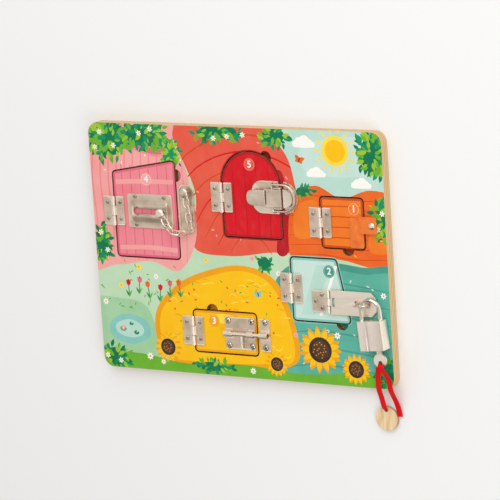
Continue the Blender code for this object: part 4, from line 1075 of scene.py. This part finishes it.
def strap():
    tree = stitch_tree()
    pad = (0.11529, 0.011077, 0.12859, 0.037877)
    tongue = (0.12519, 0.024213, 0.14249, 0.039213)
    for name, node, body, (left, low, right, high), bottom, top in (
            ("strap_pad_leather", "strap_pad", "door_1_body", pad, plate_bottom, 0.0118),
            ("strap_tongue_leather", "strap_tongue", "strap_tongue_body", tongue, 0.0121, 0.0133)):
        edges = [1000 * v for v in (left, low, right, high)]
        outline = metres(rounded_outline(*edges, 1.8))
        piece = finished(name, pressed_plate(name, [outline], bottom, top, 0.00045), body, "leather")
        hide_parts(node)
        seam = metres(rounded_outline(edges[0] + 1.3, edges[1] + 1.3, edges[2] - 1.3, edges[3] - 1.3, 1.1))
        places = [(x, y, top + 0.00004) for x, y in seam]
        count = len(places)
        mesh = set_out(f"{name}_stitches", places, [(n, (n + 1) % count) for n in range(count)], tree,
                       {"Length": 0.0013, "Gap": 0.0006, "Thickness": 0.00034})
        finished(f"{name}_stitches", mesh, body, None)


# Door 4: the slotted tray

def slotted_tray():
    """A flange, sloped sides and a flat top with a keyhole slot, as one pressed sheet."""
    cx, cy = -88.7715, 33.6802
    slot_radius, hole_radius, knob_x, hole_x = 2.6, 3.8, cx + 14.5, cx - 13.0

    def box_ring(reach_x, reach_y, radius, z):
        return [(x / 1000, y / 1000, z)
                for x, y in rounded_outline(cx - reach_x, cy - reach_y, cx + reach_x, cy + reach_y, radius)]

    def slot_ring(grow, z):
        wide, round_hole = slot_radius + grow, hole_radius + grow
        meet = math.asin(wide / round_hole)
        upper = [*arc(knob_x, cy, wide, wide, 0, quarter, corner_steps),
                 *arc(hole_x, cy, round_hole, round_hole, meet, math.pi, corner_steps)]
        return [(x / 1000, y / 1000, z) for x, y in upper + [(x, 2 * cy - y) for x, y in reversed(upper)]]

    rings = [box_ring(23.5, 15.5, 2.4, 0.0103), box_ring(23.5, 15.5, 2.4, 0.0109),
             box_ring(23.3, 15.3, 2.3, 0.0111),
             box_ring(19.6, 10.6, 3.4, 0.0111), box_ring(19.0, 10.0, 3.2, 0.01122),
             box_ring(18.9, 6.9, 2.2, 0.0124),
             box_ring(18.4, 6.2, 2.0, 0.0126), box_ring(18.1, 5.9, 1.9, 0.0127), slot_ring(0.25, 0.0127),
             slot_ring(0.0, 0.01255), slot_ring(0.0, 0.0119), box_ring(18.1, 5.6, 1.9, 0.0119),
             box_ring(18.2, 9.2, 2.2, 0.0106), box_ring(18.2, 9.2, 2.2, 0.0103)]
    mesh = skinned("slotted_tray", rings, 35, looped=True)
    piece = finished("slotted_tray", mesh, "door_4_body", "nickel")
    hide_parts("chain_track")


# Door 5: the latch's lever

def lever_cover():
    """The cover and its raised tab, with a slot between them."""
    pivot, cy, tab_half, lip = 48.99, 52.014, 6.8, 5.6
    left, shoulder = pivot - 32.8, pivot - 32.8 + 18.4
    bottom, top, tab_rise = 0.0148, 0.0158, 0.0006
    cover = metres(rounded_outline(shoulder - 0.6, cy - 8.0, pivot + 1.9, cy + 8.0, 0.5))
    slot = metres(rounded_outline(shoulder + 0.1, cy - 6.6, shoulder + 1.4, cy + 6.6, 0.3))
    plate = finished("lever_cover", pressed_plate("lever_cover", [cover, slot], bottom, top, 0.00022),
                     "latch_lever_body", "nickel")
    outline = metres([(shoulder, cy - tab_half), (shoulder, cy + tab_half),
                      *arc(left + lip, cy + tab_half - lip, lip, lip, quarter, 2 * quarter, 8),
                      *arc(left + lip, cy - tab_half + lip, lip, lip, 2 * quarter, 3 * quarter, 8)])
    tab = finished("lever_tab", pressed_plate("lever_tab", [outline], bottom + tab_rise, top + tab_rise, 0.0003),
                   "latch_lever_body", "nickel")
    barrels = bmesh.new()
    for x, radius in ((pivot, 1.85), (pivot - 8.0, 1.6)):
        add_drum(barrels, (x / 1000, cy / 1000, 0.0136), radius / 1000, 0.0154, 28)
    rolled = finished("lever_rolls", from_builder("lever_rolls", barrels), "latch_lever_body", "nickel")
    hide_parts("latch_lever")
    for piece in (tab, rolled):
        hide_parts("latch_lever")


# The padlock's case

def lock_case():
    """A block with a bright left band, a cove beside it and a flat face."""
    half, deep = 12.0, 6.3
    front = [(-half + 0.5, deep - 0.75), (-half + 1.2, deep - 0.35), (-4.9, deep), (-4.1, deep - 0.12),
             (-3.6, deep - 0.62), (-2.4, deep - 0.66), (-1.6, deep - 0.30), (-0.8, deep - 0.12),
             (half - 1.6, deep - 0.12), (half - 0.6, deep - 0.4), (half, deep - 1.3)]
    back = [(half, -deep + 1.3), (half - 0.6, -deep + 0.4), (half - 1.6, -deep), (-half + 1.6, -deep),
            (-half + 0.6, -deep + 0.4), (-half, -deep + 1.3), (-half, deep - 1.6)]
    profile = metres((front + back)[::-1])
    heights = [(-12.4, 0.965), (-12.7, 1.0), (-38.1, 1.0), (-38.4, 0.965)]
    rings = [[(x * scale, y / 1000, z * scale) for x, z in profile] for y, scale in heights]
    source = added("lock_case", skinned("lock_case", rings, None))
    cutter = bmesh.new()
    for x, start, end, radius in ((-9.2, -10.0, -20.7, 2.1), (9.2, -10.0, -20.7, 2.1), (3.7, -40.0, -33.4, 3.9)):
        add_drum(cutter, (x / 1000, (start + end) / 2000, 0), radius / 1000, abs(start - end) / 1000, 32)
    bmesh.ops.recalc_face_normals(cutter, faces=cutter.faces)
    tool = added("lock_case_bores", from_builder("lock_case_bores", cutter, None))
    step = source.modifiers.new("bores", "BOOLEAN")
    step.operation, step.object = "DIFFERENCE", tool
    mesh = evaluated("lock_case", source)
    bpy.data.objects.remove(tool, do_unlink=True)
    mesh.transform(padlock_frame)
    piece = finished("lock_case", smoothed(mesh, 25), "padlock_body", "case")
    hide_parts("padlock_case")


# The prints under the doors and on the floor of each notch, whose darker inks are painted shade of the recess

def floor_print():
    picture.clear()
    grounds = {1: "honey", 2: "teal", 3: "lemon", 4: "blush", 5: "coral"}
    # Darker tones of the colours round each notch: painted shade on the recessed floor.
    notch_shade_inks = {1: "ember", 2: "lagoon", 3: "honey", 4: "blush", 5: "crimson"}
    half_kerf = kerf * 500
    for number, (x, y) in zip(door_places, notch_centres):
        put(grounds[number], grown(door_outline(number), -half_kerf))
        put(notch_shade_inks[number], notch(x, y, 3.5))
    for number, (left, low, width, height) in door_places.items():
        left, low, width, height = [1000 * v for v in (left, low, width, height)]
        for spot, size in zip(within(left + 8, left + width - 12, low + 6, low + height - 5, 14),
                              (5.0, 3.2, 4.2, 2.6) * 4):
            daisy(*spot, size, ("white", "cream", "frost")[number % 3], ("amber", "orange", "red")[number % 3], 7)
        scatter(within(left + 5, left + width - 10, low + 4, low + height - 4, 26), "leaf", 4.6, 1.6)
    regions = []
    for number, (x, y) in zip(door_places, notch_centres):
        regions.append((f"under_door_{number}", [grown(door_outline(number), half_kerf - 0.15)], []))
        regions.append((f"notch_floor_{number}", [notch(x, y, -0.15)],
                        [grown(door_outline(number), half_kerf - 0.12)]))
    for name, mesh in printed_films(picture, regions, notch_floor - print_sink,
                                    notch_floor + print_thickness).items():
        finished(name, mesh, "frame", "ink")


screws()
badge_numbers()
strap()
slotted_tray()
lever_cover()
lock_case()
floor_print()


# Materials of the CAD's own pieces

def paint(names, material):
    for name in names:
        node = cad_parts[name]
        for slot in node.material_slots:
            slot.material = materials[material]


hinge_nodes = [f"hinge_{n}_{word}" for n in door_places for word in ("frame_leaf", "door_leaf", "pin")]
paint(["back_panel"], "plywood")
paint(["front_panel", *[f"door_{n}" for n in door_places]], "charred")
paint([*hinge_nodes, "hasp_base", "hasp_pin", "hasp_strap", "staple", "bolt_base", "keeper",
       "anchor_plate", "rivet", "latch_base", "latch_pin", "latch_loop", "latch_catch",
       "lock_plug", "key", "snap_stud", "chain_knob", *[f"chain_link_{n}" for n in range(1, 11)]], "nickel")
paint(["shackle", "bolt_rod", "snap_cap"], "steel")
paint(["wooden_tag"], "tag")


# Floor and light

def stage():
    builder = bmesh.new()
    bmesh.ops.create_grid(builder, x_segments=1, y_segments=1, size=6)
    mesh = from_builder("floor", builder, None)
    mesh.transform(Matrix.Translation((0, 0, -0.0002)))
    floor = added("floor", mesh)
    mesh.materials.append(Finish("floor_paint", Roughness=0.8).made(Base_Color="F6F5F3"))


def lamp(name, place, size, power):
    """A square lamp that points at the board's middle."""
    data = bpy.data.lights.new(name, "AREA")
    data.shape, data.size, data.energy = "SQUARE", size, power
    light = added(name, data)
    light.location = place
    light.rotation_mode = "QUATERNION"
    light.rotation_quaternion = (-Vector(place)).to_track_quat("-Z", "Y")


def world_light():
    """Even white light; only reflections see soft bands of tone and a dark card below the board."""
    world = bpy.data.worlds.new("studio")
    scene.world = world
    world.use_nodes = True
    sky = Graph(world.node_tree)
    even = sky.nodes["Background"]
    even.inputs["Color"].default_value = (1, 1, 1, 1)
    even.inputs["Strength"].default_value = 0.62
    place = sky.node("ShaderNodeTexCoord").outputs["Generated"]
    card = sky.span(sky.separate(place)["Y"], 0.12, 1.0, -0.72, -0.5)
    bands = sky.node("ShaderNodeTexNoise", Scale=1.6, Detail=0, Vector=place).outputs["Fac"]
    tones = sky.ramp(bands, (0.38, (0.50, 0.45, 0.40, 1)), (0.62, (0.98, 0.95, 0.91, 1)))
    seen = sky.node("ShaderNodeBackground", Color=tones, Strength=card).outputs["Background"]
    rays = sky.node("ShaderNodeLightPath").outputs
    either = sky.sum("MAXIMUM", rays["Is Glossy Ray"], rays["Is Transmission Ray"])
    mixed = sky.node("ShaderNodeMixShader", either, even.outputs["Background"], seen).outputs["Shader"]
    sky.fill(sky.nodes["World Output"].inputs["Surface"], mixed)


stage()
lamp("key_lamp", (0.35, 1.15, 1.2), 1.8, 15)
lamp("fill_lamp", (1.1, -0.7, 0.9), 0.8, 4)
world_light()
scene.view_settings.view_transform = "Standard"
